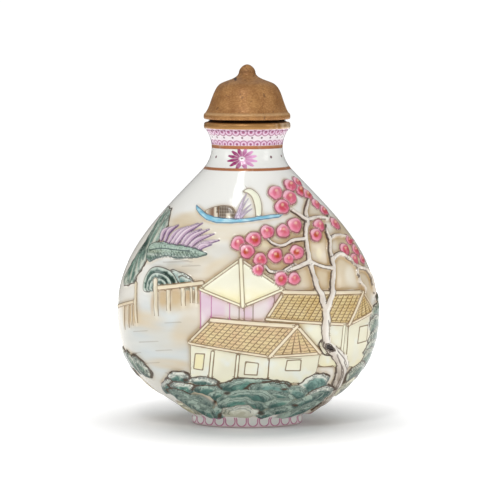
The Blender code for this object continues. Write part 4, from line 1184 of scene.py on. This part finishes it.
for path in (
    [(-13.2, 4.6, 3.2), (-14.6, 10.0, 2.5), (-13.4, 15.0, 2.0), (-14.4, 22.0, 1.6), (-12.6, 29.0, 1.2),
     (-13.4, 35.0, 0.9), (-12.8, 38.4, 0.6)],
    [(-14.2, 21.0, 1.2), (-18.4, 26.0, 1.0), (-19.4, 31.0, 0.8)],
    [(-12.8, 28.0, 1.1), (-8.6, 31.4, 0.9), (-4.6, 32.0, 0.7)],
):
    branch(back, path)
for order, (across, up) in enumerate((
    (-18.6, 32.6), (-20.8, 29.6), (-16.0, 30.4), (-13.0, 37.2), (-15.6, 35.0), (-10.8, 35.2), (-3.6, 33.4),
    (-6.4, 34.2), (-6.0, 30.2), (-1.2, 31.6),
)):
    blossom(back, across, up, 1.4, order, 0.3 + 0.2 * (order % 4))
for order, (across, up, wide, high, tilt) in enumerate((
    (-11.0, 7.9, 5.0, 2.0, -8), (0.4, 8.1, 6.4, 2.0, 4), (11.6, 8.1, 5.4, 2.0, 8),
    (-16.4, 6.8, 3.2, 2.4, 30), (17.6, 8.6, 2.8, 2.8, -30), (-5.4, 5.6, 5.6, 1.8, -6),
    (6.6, 5.4, 5.6, 1.8, 8), (-9.4, 4.0, 4.4, 1.4, -22), (9.6, 3.8, 4.6, 1.4, 22), (0.6, 3.6, 5.0, 1.8, 0),
)):
    rock(back, across, up, wide, high, tilt, 0.8 + 0.04 * order, seed=60 + order)
print("back laid")

# %% [markdown]
# ## From arrays to porcelain
#
# The body's grid is pushed out along its normals by the relief. Above it come the neck and the lip, then
# the profile turns in over the lip and down through the bore to the chamber's floor. Below it come the
# foot and the shallow recess. It is one closed skin. Rings with half as many points join the fine ones by
# three triangles a pair.

# %% Rings of the whole bottle
def softened(field, passes=1):
    """Each value becomes half itself and a quarter of both neighbours, along the ring and then up."""
    for _ in range(passes):
        field = 0.5 * field + 0.25 * (np.roll(field, 1, 1) + np.roll(field, -1, 1))
        field[1:-1] = 0.5 * field[1:-1] + 0.25 * (field[:-2] + field[2:])
    return field


fade = smooth((height - FOOT_Z) / 1.0) * smooth((SHOULDER_Z - height) / 2.0)
shape = (len(ROW_HEIGHTS), len(COLUMN_TURNS))
clay = softened(relief.reshape(shape)).ravel() * fade
body = surface(turn, height) + outward(turn, height) * clay[:, None]
# Painted shade: the paint darkens in hollows beside the relief, faintly in broader ones, and towards the
# sides.
hollow = softened(relief.reshape(shape), 10).ravel() - relief
painted_shade = 0.85 * smooth(hollow / 0.32) * (0.6 + 0.4 * cloud(turn * 15, height, 1.5, 70))
wider = softened(relief.reshape(shape), 45).ravel() - relief
painted_shade += 0.17 * smooth(wider / 0.4) * smooth(1.8 * cloud(turn * 15, height, 4.0, 71) - 0.2)
painted_shade += 0.22 * smooth((np.abs(np.sin(turn)) - 0.72) / 0.26) * smooth((46 - height) / 8)
paint *= 1 - np.clip(painted_shade * fade, 0, 1)[:, None] * (1 - SHADE_TINT)
print("relief from", round(clay.min(), 2), "to", round(clay.max(), 2), "mm")


def oval(wide, deep, z, skip):
    """Ring of points at every skip-th column."""
    around = COLUMN_TURNS[::skip]
    return np.stack([wide * np.sin(around), -deep * np.cos(around), z + 0 * around], -1)


def wall_inside(z):
    """Half-width and half-depth of the chamber: the outside less the wall, measured across the slope."""
    wide_slope, deep_slope = slopes(max(z, FOOT_Z + 1.0))
    wall_across, wall_through = WALL * math.hypot(1, wide_slope), WALL * math.hypot(1, deep_slope)
    return half_width(z) - wall_across, half_depth(z) - wall_through


UNDERSIDE_AND_FOOT = [
    (6.0, 0.75), (4.0, 0.85), (FOOT_RING + 0.5, RECESS_Z), (FOOT_RING + 0.2, 0.75), (FOOT_RING, 0.15),
    (1.35, 0.0), (0.35, 0.0), (0.16, 0.05), (0.05, 0.16), (0.0, 0.35), (-0.02, 0.65), (-0.02, 0.95),
    (0.0, 1.2), (0.03, 1.42),
]
rings = [oval(FOOT_HALF[0] - inset, FOOT_HALF[1] - inset, z, 2) for inset, z in UNDERSIDE_AND_FOOT]
first_body_ring = len(rings)
rings += list(body.reshape(*shape, 3))
for share in np.linspace(0, 1, 27)[1:]:
    z = between(SHOULDER_Z, FLARE_Z, share)
    rings.append(oval(half_width(z), half_depth(z), z, 2))
for corner in np.linspace(-0.5, 0.5, 7) * math.pi:
    z = (FLARE_Z + LIP_TOP) / 2 + 0.5 * math.sin(corner) + 0.2 * np.sign(math.sin(corner))
    rings.append(oval(*[LIP_R - ROUNDING * (1 - math.cos(corner))] * 2, z, 2))
for r, z in ((7.75, LIP_TOP + 0.02), (7.5, LIP_Z - 0.04), (7.2, LIP_Z), (MOUTH_R + 1.6, LIP_Z)):
    rings.append(oval(r, r, z, 2))
for inset, z in ((0.35, LIP_Z), (0.1, LIP_Z - 0.1), (0.0, LIP_Z - 0.35)):
    rings.append(oval(MOUTH_R + inset, MOUTH_R + inset, z, 4))
for z in (56.0, 53.0, SHOULDER_Z + 0.77):
    rings.append(oval(MOUTH_R, MOUTH_R, z, 4))
for share in (0.94, 0.84, 0.70, 0.54, 0.38, 0.24, 0.12, 0.04, 0.0):
    z = between(FLOOR_Z, SHOULDER_Z, share)
    corner = 0.8 if share == 0.0 else 1.0
    rings.append(oval(*[corner * max(half, MOUTH_R) for half in wall_inside(z)], z, 4))
print(len(rings), "rings,", sum(map(len, rings)), "points")


# %% Triangles between rings
def triangles_between(low, count, high, other):
    """Triangles of one band. Quads are cut on their shorter diagonal. A 2:1 step takes three triangles."""
    if count == other:
        k = np.arange(count)
        n = (k + 1) % count
        a, b, c, d = low + k, low + n, high + n, high + k
        across_ac = np.linalg.norm(skin[a] - skin[c], axis=1)
        across_bd = np.linalg.norm(skin[b] - skin[d], axis=1)
        short = (across_ac <= across_bd)[:, None]
        first = np.where(short, np.stack([a, b, c], -1), np.stack([a, b, d], -1))
        return np.vstack([first, np.where(short, np.stack([a, c, d], -1), np.stack([b, c, d], -1))])
    k = np.arange(min(count, other))
    n = (k + 1) % len(k)
    if count > other:
        left, middle, right = low + 2 * k, low + 2 * k + 1, low + (2 * k + 2) % count
        here, there = high + k, high + n
        return np.vstack([np.stack(t, -1) for t in ((left, middle, here), (middle, there, here),
                                                    (middle, right, there))])
    left, middle, right = high + 2 * k, high + 2 * k + 1, high + (2 * k + 2) % other
    here, there = low + k, low + n
    return np.vstack([np.stack(t, -1) for t in ((here, there, middle), (here, middle, left),
                                                (there, right, middle))])


def make_piece(name, vertices, faces, attributes=()):
    """A smooth-shaded object from arrays of points in drawn millimetres and triangles."""
    mesh = bpy.data.meshes.new(name)
    mesh.vertices.add(len(vertices))
    mesh.vertices.foreach_set("co", (vertices * MM).astype(np.float32).ravel())
    mesh.loops.add(3 * len(faces))
    mesh.loops.foreach_set("vertex_index", faces.astype(np.int32).ravel())
    mesh.polygons.add(len(faces))
    mesh.polygons.foreach_set("loop_start", np.arange(0, 3 * len(faces), 3, dtype=np.int32))
    for label, kind, field, values in attributes:
        layer = mesh.attributes.new(label, kind, "POINT")
        layer.data.foreach_set(field, np.ascontiguousarray(values, np.float32).ravel())
    mesh.update(calc_edges=True)
    mesh.validate()
    mesh.shade_smooth()
    piece = bpy.data.objects.new(name, mesh)
    bpy.context.scene.collection.objects.link(piece)
    return piece


under_middle, floor_middle = [[0, 0, 0.72]], [[0, 0, FLOOR_Z]]
skin = np.vstack([under_middle, *rings, floor_middle])
starts = 1 + np.concatenate([[0], np.cumsum([len(ring) for ring in rings])])
sizes = [len(ring) for ring in rings]
bands = [triangles_between(starts[i], sizes[i], starts[i + 1], sizes[i + 1]) for i in range(len(rings) - 1)]
first, last = np.arange(len(rings[0])), np.arange(len(rings[-1]))
bands.append(np.stack([0 * first, 1 + np.roll(first, -1), 1 + first], -1))
bands.append(np.stack([starts[-2] + last, starts[-2] + np.roll(last, -1), 0 * last + starts[-1]], -1))
faces = np.vstack(bands)


def spread(values, rest):
    """The body's values in their place among all points, and one value for every other point."""
    full = np.tile(np.asarray(rest, float), (len(skin), 1))
    start = starts[first_body_ring]
    full[start:start + points] = values
    return full


painted = np.hstack([paint, stipple[:, None]])
bottle = make_piece("enamelled_bottle", skin, faces, (
    ("paint", "FLOAT_COLOR", "color", spread(painted, [*enamel(236, 237, 232), 0])),
    ("ink", "FLOAT_VECTOR", "vector", spread(ink, [CLEAR, CLEAR, 0])),
    ("ink_colour", "FLOAT_COLOR", "color", spread(ink_colour, [0, 0, 0, 0])),
    ("tile", "FLOAT_VECTOR", "vector", spread(tiles, [0, 0, NO_TILE])),
))
print(len(faces), "triangles")

# %% [markdown]
# ## Arithmetic in a material
#
# The fine borders on the neck and foot and the roof tiles are ruled by the material itself, from
# formulas. This small helper lets a formula be written as arithmetic and adds the Math nodes behind it.

# %% Formulas as nodes
class Field:
    """A number that varies over the surface."""

    def __init__(self, tree, socket):
        self.tree, self.socket = tree, socket

    def math(self, operation, *others, clamp=False):
        node = self.tree.nodes.new("ShaderNodeMath")
        node.operation, node.use_clamp = operation, clamp
        for slot, value in zip(node.inputs, (self, *others)):
            if isinstance(value, Field):
                self.tree.links.new(value.socket, slot)
            else:
                slot.default_value = value
        return Field(self.tree, node.outputs[0])

    def __add__(self, other):
        return self.math("ADD", other)

    def __sub__(self, other):
        return self.math("SUBTRACT", other)

    def __mul__(self, other):
        return self.math("MULTIPLY", other)

    def __truediv__(self, other):
        return self.math("DIVIDE", other)

    def over(self, limit, soft=0.08):
        """1 where the number is over the limit, with a linear change that is soft wide."""
        return ((self - limit) / soft).math("ADD", 0.5, clamp=True)

    def under(self, limit, soft=0.08):
        return ((self - limit) / -soft).math("ADD", 0.5, clamp=True)

    def near(self, place, reach, soft=0.08):
        """1 within a reach of a place, and 0 farther off."""
        return (self - place).math("ABSOLUTE").under(reach, soft)

    def wave(self, period):
        """Distance to the middle of the nearest repeat: 0 in the middle, half a period between repeats."""
        return (self.math("PINGPONG", period / 2) - period / 2) * -1.0

    def length(self, other):
        """Root of the sum of two squares."""
        return (self * self + other * other).math("SQRT")


def attribute(tree, name):
    """A named attribute of the mesh."""
    node = tree.nodes.new("ShaderNodeAttribute")
    node.attribute_name = name
    return node


def parts_of(tree, vector):
    """The three numbers of a vector."""
    split = tree.nodes.new("ShaderNodeSeparateXYZ")
    tree.links.new(vector, split.inputs[0])
    return [Field(tree, split.outputs[i]) for i in range(3)]


def millimetres(tree):
    """Object coordinates as three numbers in drawn millimetres, and the coordinates' own socket."""
    where = tree.nodes.new("ShaderNodeTexCoord").outputs["Object"]
    return [part / MM for part in parts_of(tree, where)], where


def noise(tree, where, size_mm, detail=2.0, stretch=(1, 1, 1)):
    """Noise whose blobs are about this many millimetres across, from 0 to 1."""
    scale = tree.nodes.new("ShaderNodeMapping")
    scale.inputs["Scale"].default_value = [s / (size_mm * MM) for s in stretch]
    tree.links.new(where, scale.inputs["Vector"])
    node = tree.nodes.new("ShaderNodeTexNoise")
    node.inputs["Scale"].default_value = 1.0
    node.inputs["Detail"].default_value = detail
    tree.links.new(scale.outputs[0], node.inputs["Vector"])
    return Field(tree, node.outputs["Fac"])


def tint(tree, amount, under, over_colour):
    """Mix a colour over another by an amount."""
    node = tree.nodes.new("ShaderNodeMix")
    node.data_type = "RGBA"
    tree.links.new(amount.socket, node.inputs["Factor"])
    for slot, value in ((node.inputs[6], under), (node.inputs[7], over_colour)):
        if isinstance(value, bpy.types.NodeSocket):
            tree.links.new(value, slot)
        else:
            slot.default_value = (*value, 1.0)
    return node.outputs[2]


def material(name, roughness, metallic=0.0):
    """A new material, its node tree and its shader."""
    made = bpy.data.materials.new(name)
    made.use_nodes = True
    shader = made.node_tree.nodes["Principled BSDF"]
    shader.inputs["Roughness"].default_value = roughness
    shader.inputs["Metallic"].default_value = metallic
    return made, made.node_tree, shader


def finish(tree, shader, colour, height, strength, deep):
    """Join the colour to the shader, and a bump with a strength and a depth in millimetres."""
    tree.links.new(colour, shader.inputs["Base Color"])
    bump = tree.nodes.new("ShaderNodeBump")
    bump.inputs["Strength"].default_value = strength
    bump.inputs["Distance"].default_value = deep * MM
    tree.links.new(height.socket, bump.inputs["Height"])
    tree.links.new(bump.outputs[0], shader.inputs["Normal"])


# %% [markdown]
# ## Enamelled porcelain
#
# From the bottom up: white glaze with the painted colours, ruled roof tiles, ink lines, the pink borders
# of foot and neck, and last the gilded bands. Enamel is a little duller than glaze, and gold duller
# still, so roughness follows the same masks.

# %% Glaze, enamels and borders
porcelain, tree, shader = material("enamelled_porcelain", 0.1)
(X, Y, Z), where = millimetres(tree)
enamels = attribute(tree, "paint")
colour = enamels.outputs["Color"]
fine = noise(tree, where, 0.5)
patchy = noise(tree, where, 1.6)
dots = noise(tree, where, 0.34, 1.0)
stippled = Field(tree, enamels.outputs["Alpha"])
dark_dots = stippled * dots.over(0.57, 0.1) * patchy.over(0.42, 0.3) * 0.8
light_dots = stippled * dots.under(0.4, 0.1) * patchy.under(0.55, 0.3) * 0.6
colour = tint(tree, dark_dots, colour, enamel(44, 50, 40))
colour = tint(tree, light_dots, colour, enamel(214, 222, 208))

column, row, depth = parts_of(tree, attribute(tree, "tile").outputs["Vector"])
on_roof = depth.over(0.18, 0.2)
across_tile = column.wave(1.0)
tile_edge = (row + across_tile * across_tile * 1.6).wave(1.0)
ribs = across_tile.over(0.41, 0.1) * patchy.over(0.28, 0.3)
arcs = tile_edge.over(0.36, 0.16) * fine.over(0.36, 0.3) * 0.75
colour = tint(tree, ribs.math("MAXIMUM", arcs) * on_roof * 0.92, colour, TILE_INK)

signed, away, half = parts_of(tree, attribute(tree, "ink").outputs["Vector"])
pen = attribute(tree, "ink_colour")
inked = (signed.math("ABSOLUTE") - half).under(0.0, 0.09) * away.under(0.26, 0.1)
broken = (fine * 0.55 + patchy * 0.75).over(0.42, 0.25)
inked = inked * Field(tree, pen.outputs["Alpha"]) * (broken * 0.45 + 0.55)
colour = tint(tree, inked, colour, pen.outputs["Color"])

# %% Borders of the neck
NECK_R = 7.2
LACE_LOW, LACE_MIDDLE, LACE_HIGH = 54.92, 56.42, 58.0
LACE_REPEATS, DOT_REPEATS = 33, 24
ring_angle = X.math("ARCTAN2", Y * -1.0)
face_angle = X.math("ARCTAN2", Y.math("ABSOLUTE"))
lace = None
for level, radius, dot_size in ((57.5, 0.7, 0.28), (55.15, 0.68, 0.26)):
    reach = (ring_angle * NECK_R).wave(2 * math.pi * NECK_R / LACE_REPEATS).length(Z - level)
    arc = reach.near(radius, 0.1) * 0.85
    both = arc.math("MAXIMUM", reach.under(dot_size, 0.12))
    lace = both if lace is None else lace.math("MAXIMUM", both)
beside_dot = (ring_angle * NECK_R).wave(2 * math.pi * NECK_R / DOT_REPEATS)
middle_dots = beside_dot.length(Z - LACE_MIDDLE).under(0.2, 0.1)
lace_zone = Z.over(LACE_LOW, 0.1) * Z.under(LACE_HIGH, 0.1)
scallops = ((Z - LACE_MIDDLE).math("ABSOLUTE").over(0.55, 0.3) * 0.5 + 0.25) * lace_zone
colour = tint(tree, scallops, colour, enamel(218, 168, 204))
colour = tint(tree, lace * lace_zone * (patchy * 0.4 + 0.66), colour, enamel(148, 40, 98))
colour = tint(tree, middle_dots * lace_zone * 0.85, colour, enamel(92, 44, 62))

FLOWER_TURN, FLOWER_Z, FLOWER_HALF, PETALS = math.radians(8), 52.42, (3.05, 2.05), 12
flower_x = (face_angle + FLOWER_TURN) * NECK_R / FLOWER_HALF[0]
flower_z = (Z - FLOWER_Z) / FLOWER_HALF[1]
petal_angle = flower_z.math("ARCTAN2", flower_x)
reach = flower_x.length(flower_z)
beside_petal = (petal_angle * (PETALS / math.pi / 2)).wave(1.0) * reach
petal = (beside_petal - (reach - 0.64).math("ABSOLUTE") * -0.42).under(0.29, 0.08) * reach.under(0.98, 0.08)
petal = petal * face_angle.math("ABSOLUTE").under(1.5, 0.1) * (fine * 0.5 + 0.7) * reach.over(0.2, 0.1)
shade_of_petal = (flower_x * -0.9 + patchy).over(0.3, 1.0)
petal_colour = tint(tree, shade_of_petal, enamel(232, 168, 214), enamel(150, 36, 104))
flower_shade = reach.under(0.75, 0.3) * 0.35 * flower_x.over(-0.1, 0.6)
colour = tint(tree, flower_shade, colour, enamel(238, 206, 228))
colour = tint(tree, petal, colour, petal_colour)
speck = reach.under(0.07, 0.05)
for degrees, level in ((-82.0, 52.5), (-57.0, 52.6), (40.0, 52.65), (68.0, 52.7)):
    dot = ((face_angle - math.radians(degrees)) * NECK_R).length(Z - level).under(0.26, 0.1)
    speck = speck.math("MAXIMUM", dot)
colour = tint(tree, speck * 0.9, colour, enamel(96, 36, 56))

# %% Border of the foot
oval_angle = (X / FOOT_HALF[0]).math("ARCTAN2", Y / -FOOT_HALF[1])
even_angle = oval_angle + (oval_angle * 2.0).math("SINE") * 0.095
FOOT_PITCH, FOOT_REPEATS = 2.22, 26
beside = (even_angle * (FOOT_REPEATS * FOOT_PITCH / 2 / math.pi)).wave(FOOT_PITCH)
foot_zone = Z.under(2.1, 0.3) * Z.over(0.3, 0.08)
cup = beside.length((Z - 1.25).math("MINIMUM", 0.0)) - 0.93
colour = tint(tree, foot_zone * cup.over(0.05, 0.08) * (fine * 0.3 + 0.2), colour, enamel(232, 170, 200))
colour = tint(tree, foot_zone * cup.math("ABSOLUTE").under(0.11, 0.1) * 0.85, colour, enamel(190, 76, 136))
colour = tint(tree, Z.near(0.2, 0.08, 0.1) * (patchy * 0.5 + 0.5), colour, enamel(170, 84, 116))
colour = tint(tree, Z.under(0.3, 0.1) * 0.5, colour, enamel(232, 214, 208))

# %% Gilded bands
gold_bands = Z.near(54.55, 0.33, 0.12).math("MAXIMUM", Z.near(50.35, 0.26, 0.12))
gold_bands = gold_bands * X.length(Y).over(5.0, 0.2)
lip = Z.over(58.05, 0.1) * X.length(Y).over(MOUTH_R + 0.15, 0.1)
worn = (patchy * 0.8 + X / 16.0 + Z * 0.05).over(3.7, 0.2)
colour = tint(tree, gold_bands * (patchy.over(0.3, 0.3) * 0.4 + 0.6), colour, enamel(176, 112, 70))
lip_colour = tint(tree, worn * 0.75, enamel(172, 126, 72), enamel(232, 208, 178))
# Painted shadow: the top of the lip, under the stopper, is painted dark.
lip_colour = tint(tree, Z.over(59.22, 0.08) * 0.9, lip_colour, enamel(56, 36, 22))
colour = tint(tree, lip, colour, lip_colour)
gilded = gold_bands.math("MAXIMUM", lip)
tree.links.new((gilded * 0.35 + lip * 0.15).socket, shader.inputs["Metallic"])
tree.links.new((gilded * 0.26 + inked * 0.1 + fine * 0.06 + 0.09).socket, shader.inputs["Roughness"])
finish(tree, shader, colour, noise(tree, where, 1.3, 1.0) + inked * 0.5 + fine * 0.25, 0.35, 0.06)
bottle.data.materials.append(porcelain)
print(len(tree.nodes), "nodes in the porcelain")

# %% [markdown]
# ## Stopper
#
# A small domed cap with a knob, turned on a lathe and gilt. It is a profile spun about the bottle's axis,
# with a slight hand-made unevenness. The gold has gone matt and brown, with small dark pits and a
# brighter worn rim.

# %% Turned profile
STOPPER_STEPS = 144


def spun(profile, steps, uneven=0.0):
    """Radius r at angle t gives (r cos t, r sin t, z), with r changed by two slow waves round the axis."""
    profile = np.asarray(profile, float)
    t = np.linspace(0, 2 * math.pi, steps, endpoint=False)
    inner = profile[1:-1]
    slow, quick = np.sin(3 * t[None] + inner[:, 1:] * 0.9), np.sin(5 * t[None] - inner[:, 1:] * 1.7)
    radius = inner[:, :1] * (1 + uneven * (slow + 0.6 * quick))
    ring = np.stack([radius * np.cos(t), radius * np.sin(t), inner[:, 1:] + 0 * radius], -1).reshape(-1, 3)
    vertices = np.vstack([[[0, 0, profile[0, 1]]], ring, [[0, 0, profile[-1, 1]]]])
    k, n = np.arange(steps), (np.arange(steps) + 1) % steps
    parts = [np.stack([0 * k, 1 + n, 1 + k], -1)]
    for i in range(len(inner) - 1):
        a, b = 1 + i * steps, 1 + (i + 1) * steps
        parts += [np.stack([a + k, a + n, b + n], -1), np.stack([a + k, b + n, b + k], -1)]
    end = 1 + (len(inner) - 1) * steps
    parts.append(np.stack([end + k, end + n, 0 * k + len(vertices) - 1], -1))
    return vertices, np.vstack(parts)


RIM = LIP_R
LOWERED, KNOB_LOWERED, BOSS = 0.15, 0.3, 0.17  # against the plain solid, and the boss underneath
SEAT = LIP_Z + (stopper_low[2] / MM - LIP_Z - LOWERED)
TALL = (stopper_high[2] - stopper_low[2]) / MM - KNOB_LOWERED
crown = bezier([(0.0, TALL), (0.1 * RIM, TALL), (0.19 * RIM, 0.91 * TALL), (0.19 * RIM, 0.86 * TALL)], 14)
swoop = bezier([(0.19 * RIM, 0.86 * TALL), (0.205 * RIM, 0.74 * TALL), (0.46 * RIM, 0.715 * TALL),
                (0.6 * RIM, 0.655 * TALL)], 22)
dome = bezier([(0.6 * RIM, 0.655 * TALL), (0.8 * RIM, 0.57 * TALL), (0.82 * RIM, 0.28 * TALL),
               (0.955 * RIM, 0.12 * TALL)], 24)
edge = [(0.985 * RIM, 0.098 * TALL), (RIM - 0.03, 0.08 * TALL), (RIM, 0.055 * TALL), (RIM, 0.025 * TALL),
        (RIM - 0.08, 0.008 * TALL), (RIM - 0.22, 0.0)]
under = [(7.7, 0.0), (7.55, -0.05), (7.5, -BOSS), (6.0, -BOSS), (MOUTH_R + 0.1, -BOSS), (MOUTH_R, 0.0),
         (MOUTH_R, 0.88), (0.0, 0.88)]
profile = np.vstack([crown, swoop[1:], dome[1:], edge, under])
profile[:, 1] += SEAT
stopper_points, stopper_faces = spun(profile[::-1], STOPPER_STEPS, 0.0035)
stopper = make_piece("gilt_stopper", stopper_points, stopper_faces)
print(len(stopper_faces), "triangles in the stopper")

# %% Worn gilding
gilding, tree, shader = material("worn_gilding", 0.46, 0.3)
(X, Y, Z), where = millimetres(tree)
mottle, grain = noise(tree, where, 2.2, 4.0), noise(tree, where, 0.4, 2.0, (1, 1, 1.8))
pits = noise(tree, where, 0.9, 1.0)
colour = tint(tree, mottle.over(0.5, 0.4), enamel(152, 101, 50), enamel(186, 135, 78))
colour = tint(tree, grain.over(0.54, 0.3) * 0.4, colour, enamel(122, 80, 42))
colour = tint(tree, grain.under(0.4, 0.2) * 0.25, colour, enamel(204, 160, 110))
colour = tint(tree, pits.over(0.72, 0.06) * 0.5, colour, enamel(80, 50, 30))
neck_of_knob = Z.near(SEAT + 0.86 * TALL, 0.5, 0.9) * X.length(Y).under(2.6, 0.8)
colour = tint(tree, neck_of_knob * mottle.over(0.45, 0.3) * 0.6, colour, enamel(110, 70, 40))
bright_rim = Z.near(SEAT + 0.1 * TALL, 0.22, 0.25)
colour = tint(tree, bright_rim * grain.over(0.4, 0.4) * 0.6, colour, enamel(228, 190, 140))
speck_at = (X + 2.3).length(Z - (SEAT + 0.735 * TALL))
# Painted shadow: the underside of the stopper, over the lip, is painted dark.
colour = tint(tree, Z.under(SEAT - 0.02, 0.04) * 0.9, colour, enamel(44, 28, 18))
colour = tint(tree, speck_at.under(0.28, 0.14) * Y.under(0.0, 0.2) * 0.9, colour, enamel(50, 26, 16))
tree.links.new((grain * 0.25 + mottle * 0.2 + 0.24).socket, shader.inputs["Roughness"])
finish(tree, shader, colour, grain * 0.5 + mottle - pits.over(0.66, 0.1) * 0.5, 0.5, 0.09)
stopper.data.materials.append(gilding)

# %% [markdown]
# ## Cork
#
# The cork is all but hidden: only the dark gap between stopper and lip shows where it is. It is a short
# tapered plug with the brown pores of bark.

# %% Cork
CORK_R = cork_high[0] / MM
CORK_TOP, CORK_END = cork_high[2] / MM, cork_low[2] / MM
CORK_STEPS = 72
cork_profile = [
    (0.0, CORK_END), (CORK_R - 0.75, CORK_END), (CORK_R - 0.45, CORK_END + 0.12),
    (CORK_R - 0.3, CORK_END + 0.5), (CORK_R - 0.12, between(CORK_END, LIP_Z, 0.6)),
    (CORK_R, LIP_Z), (CORK_R, CORK_TOP - 0.1), (CORK_R - 0.12, CORK_TOP), (0.0, CORK_TOP),
]
cork_points, cork_faces = spun(cork_profile, CORK_STEPS, 0.004)
cork = make_piece("bark_cork", cork_points, cork_faces)
bark, tree, shader = material("cork_bark", 0.85)
_, where = millimetres(tree)
cells, pores = noise(tree, where, 0.6, 3.0), noise(tree, where, 0.5, 2.0, (1, 1, 0.35))
colour = tint(tree, cells, enamel(150, 112, 74), enamel(186, 150, 106))
colour = tint(tree, pores.over(0.62, 0.08) * 0.8, colour, enamel(84, 54, 32))
finish(tree, shader, colour, cells * 0.4 - pores.over(0.6, 0.1), 0.6, 0.12)
cork.data.materials.append(bark)
print("stopper and cork made")

# %% [markdown]
# ## Each piece stands for its solid
#
# All three pieces ride on the one body. The finer piece hides the plain solid that it stands for.

# %% Pieces and their solids
for piece, node, finish in ((bottle, "bottle", "enamelled_porcelain"), (stopper, "stopper", "worn_gilding"),
                            (cork, "cork", "cork_bark")):
    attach(piece, "root")
    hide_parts(node)

# %% [markdown]
# ## Table and light
#
# A white table under an even white sky gives the plain ground. The table glows away from the foot, so
# that it fades into the white of the picture and only the shadow under the bottle is left. The key lamp
# stands high in front and a little to the left, and puts the highlight on the shoulder. Two weaker lamps
# fill the sides, and a low one in front lights the foot.

# %% Table
TABLE_HALF = 0.32
# Millimetres from the axis where the glow begins, millimetres over which it rises, and its strength.
GLOW_START, GLOW_RISE, GLOW = 15.0, 34.0, 0.85
floor_mesh = bpy.data.meshes.new("white_table")
corners = [(x * TABLE_HALF, y * TABLE_HALF, 0) for x, y in ((-1, -1), (1, -1), (1, 1), (-1, 1))]
floor_mesh.from_pydata(corners, [], [(0, 1, 2, 3)])
floor = bpy.data.objects.new("white_table", floor_mesh)
bpy.context.scene.collection.objects.link(floor)
paper, tree, shader = material("white_paper", 0.8)
shader.inputs["Base Color"].default_value = (0.86, 0.86, 0.86, 1)
shader.inputs["Specular IOR Level"].default_value = 0.2
shader.inputs["Emission Color"].default_value = (1, 1, 1, 1)
(X, Y, _), _ = millimetres(tree)
distant = ((X.length(Y) - GLOW_START) / GLOW_RISE).math("ADD", 0.0, clamp=True)
tree.links.new((distant * GLOW).socket, shader.inputs["Emission Strength"])
floor.data.materials.append(paper)


# %% Soft boxes and sky
def soft_box(name, place, aim, size, watts):
    """A square lamp at a place in millimetres, turned towards a point."""
    lamp = bpy.data.lights.new(name, "AREA")
    lamp.shape, lamp.size, lamp.size_y = "RECTANGLE", size[0] * MM, size[1] * MM
    lamp.energy = watts
    item = bpy.data.objects.new(name, lamp)
    bpy.context.scene.collection.objects.link(item)
    item.location = np.array(place) * MM
    way = np.array(aim, float) - np.array(place)
    item.rotation_euler = facing(way)


BODY_MIDDLE, FOOT_MIDDLE = (0, 0, 34), (0, 0, 10)
for name, place, aim, size, watts in (
    ("key_box", (-80, -290, 360), BODY_MIDDLE, (80, 150), 0.44),
    ("left_box", (-420, -160, 220), BODY_MIDDLE, (120, 260), 0.23),
    ("right_box", (420, -200, 220), BODY_MIDDLE, (120, 260), 0.3),
    ("low_box", (0, -420, 50), FOOT_MIDDLE, (300, 60), 0.13),
):
    soft_box(name, place, aim, size, watts)

world = bpy.data.worlds.new("studio")
bpy.context.scene.world = world
world.use_nodes = True
sky = world.node_tree
background = sky.nodes["Background"]
background.inputs["Color"].default_value = (1.0, 1.0, 1.0, 1)
direction = sky.nodes.new("ShaderNodeSeparateXYZ")
sky.links.new(sky.nodes.new("ShaderNodeTexCoord").outputs["Generated"], direction.inputs[0])
upward = Field(sky, direction.outputs["Z"])
straight = Field(sky, sky.nodes.new("ShaderNodeLightPath").outputs["Is Camera Ray"])
glow = (upward * 1.5 - 0.1).math("ADD", 0.0, clamp=True) * 0.52 + 0.1
sky.links.new((glow * (straight * -1.0 + 1.0) + straight * 1.05).socket, background.inputs["Strength"])
bpy.context.scene.view_settings.view_transform = "Standard"
print("lit")
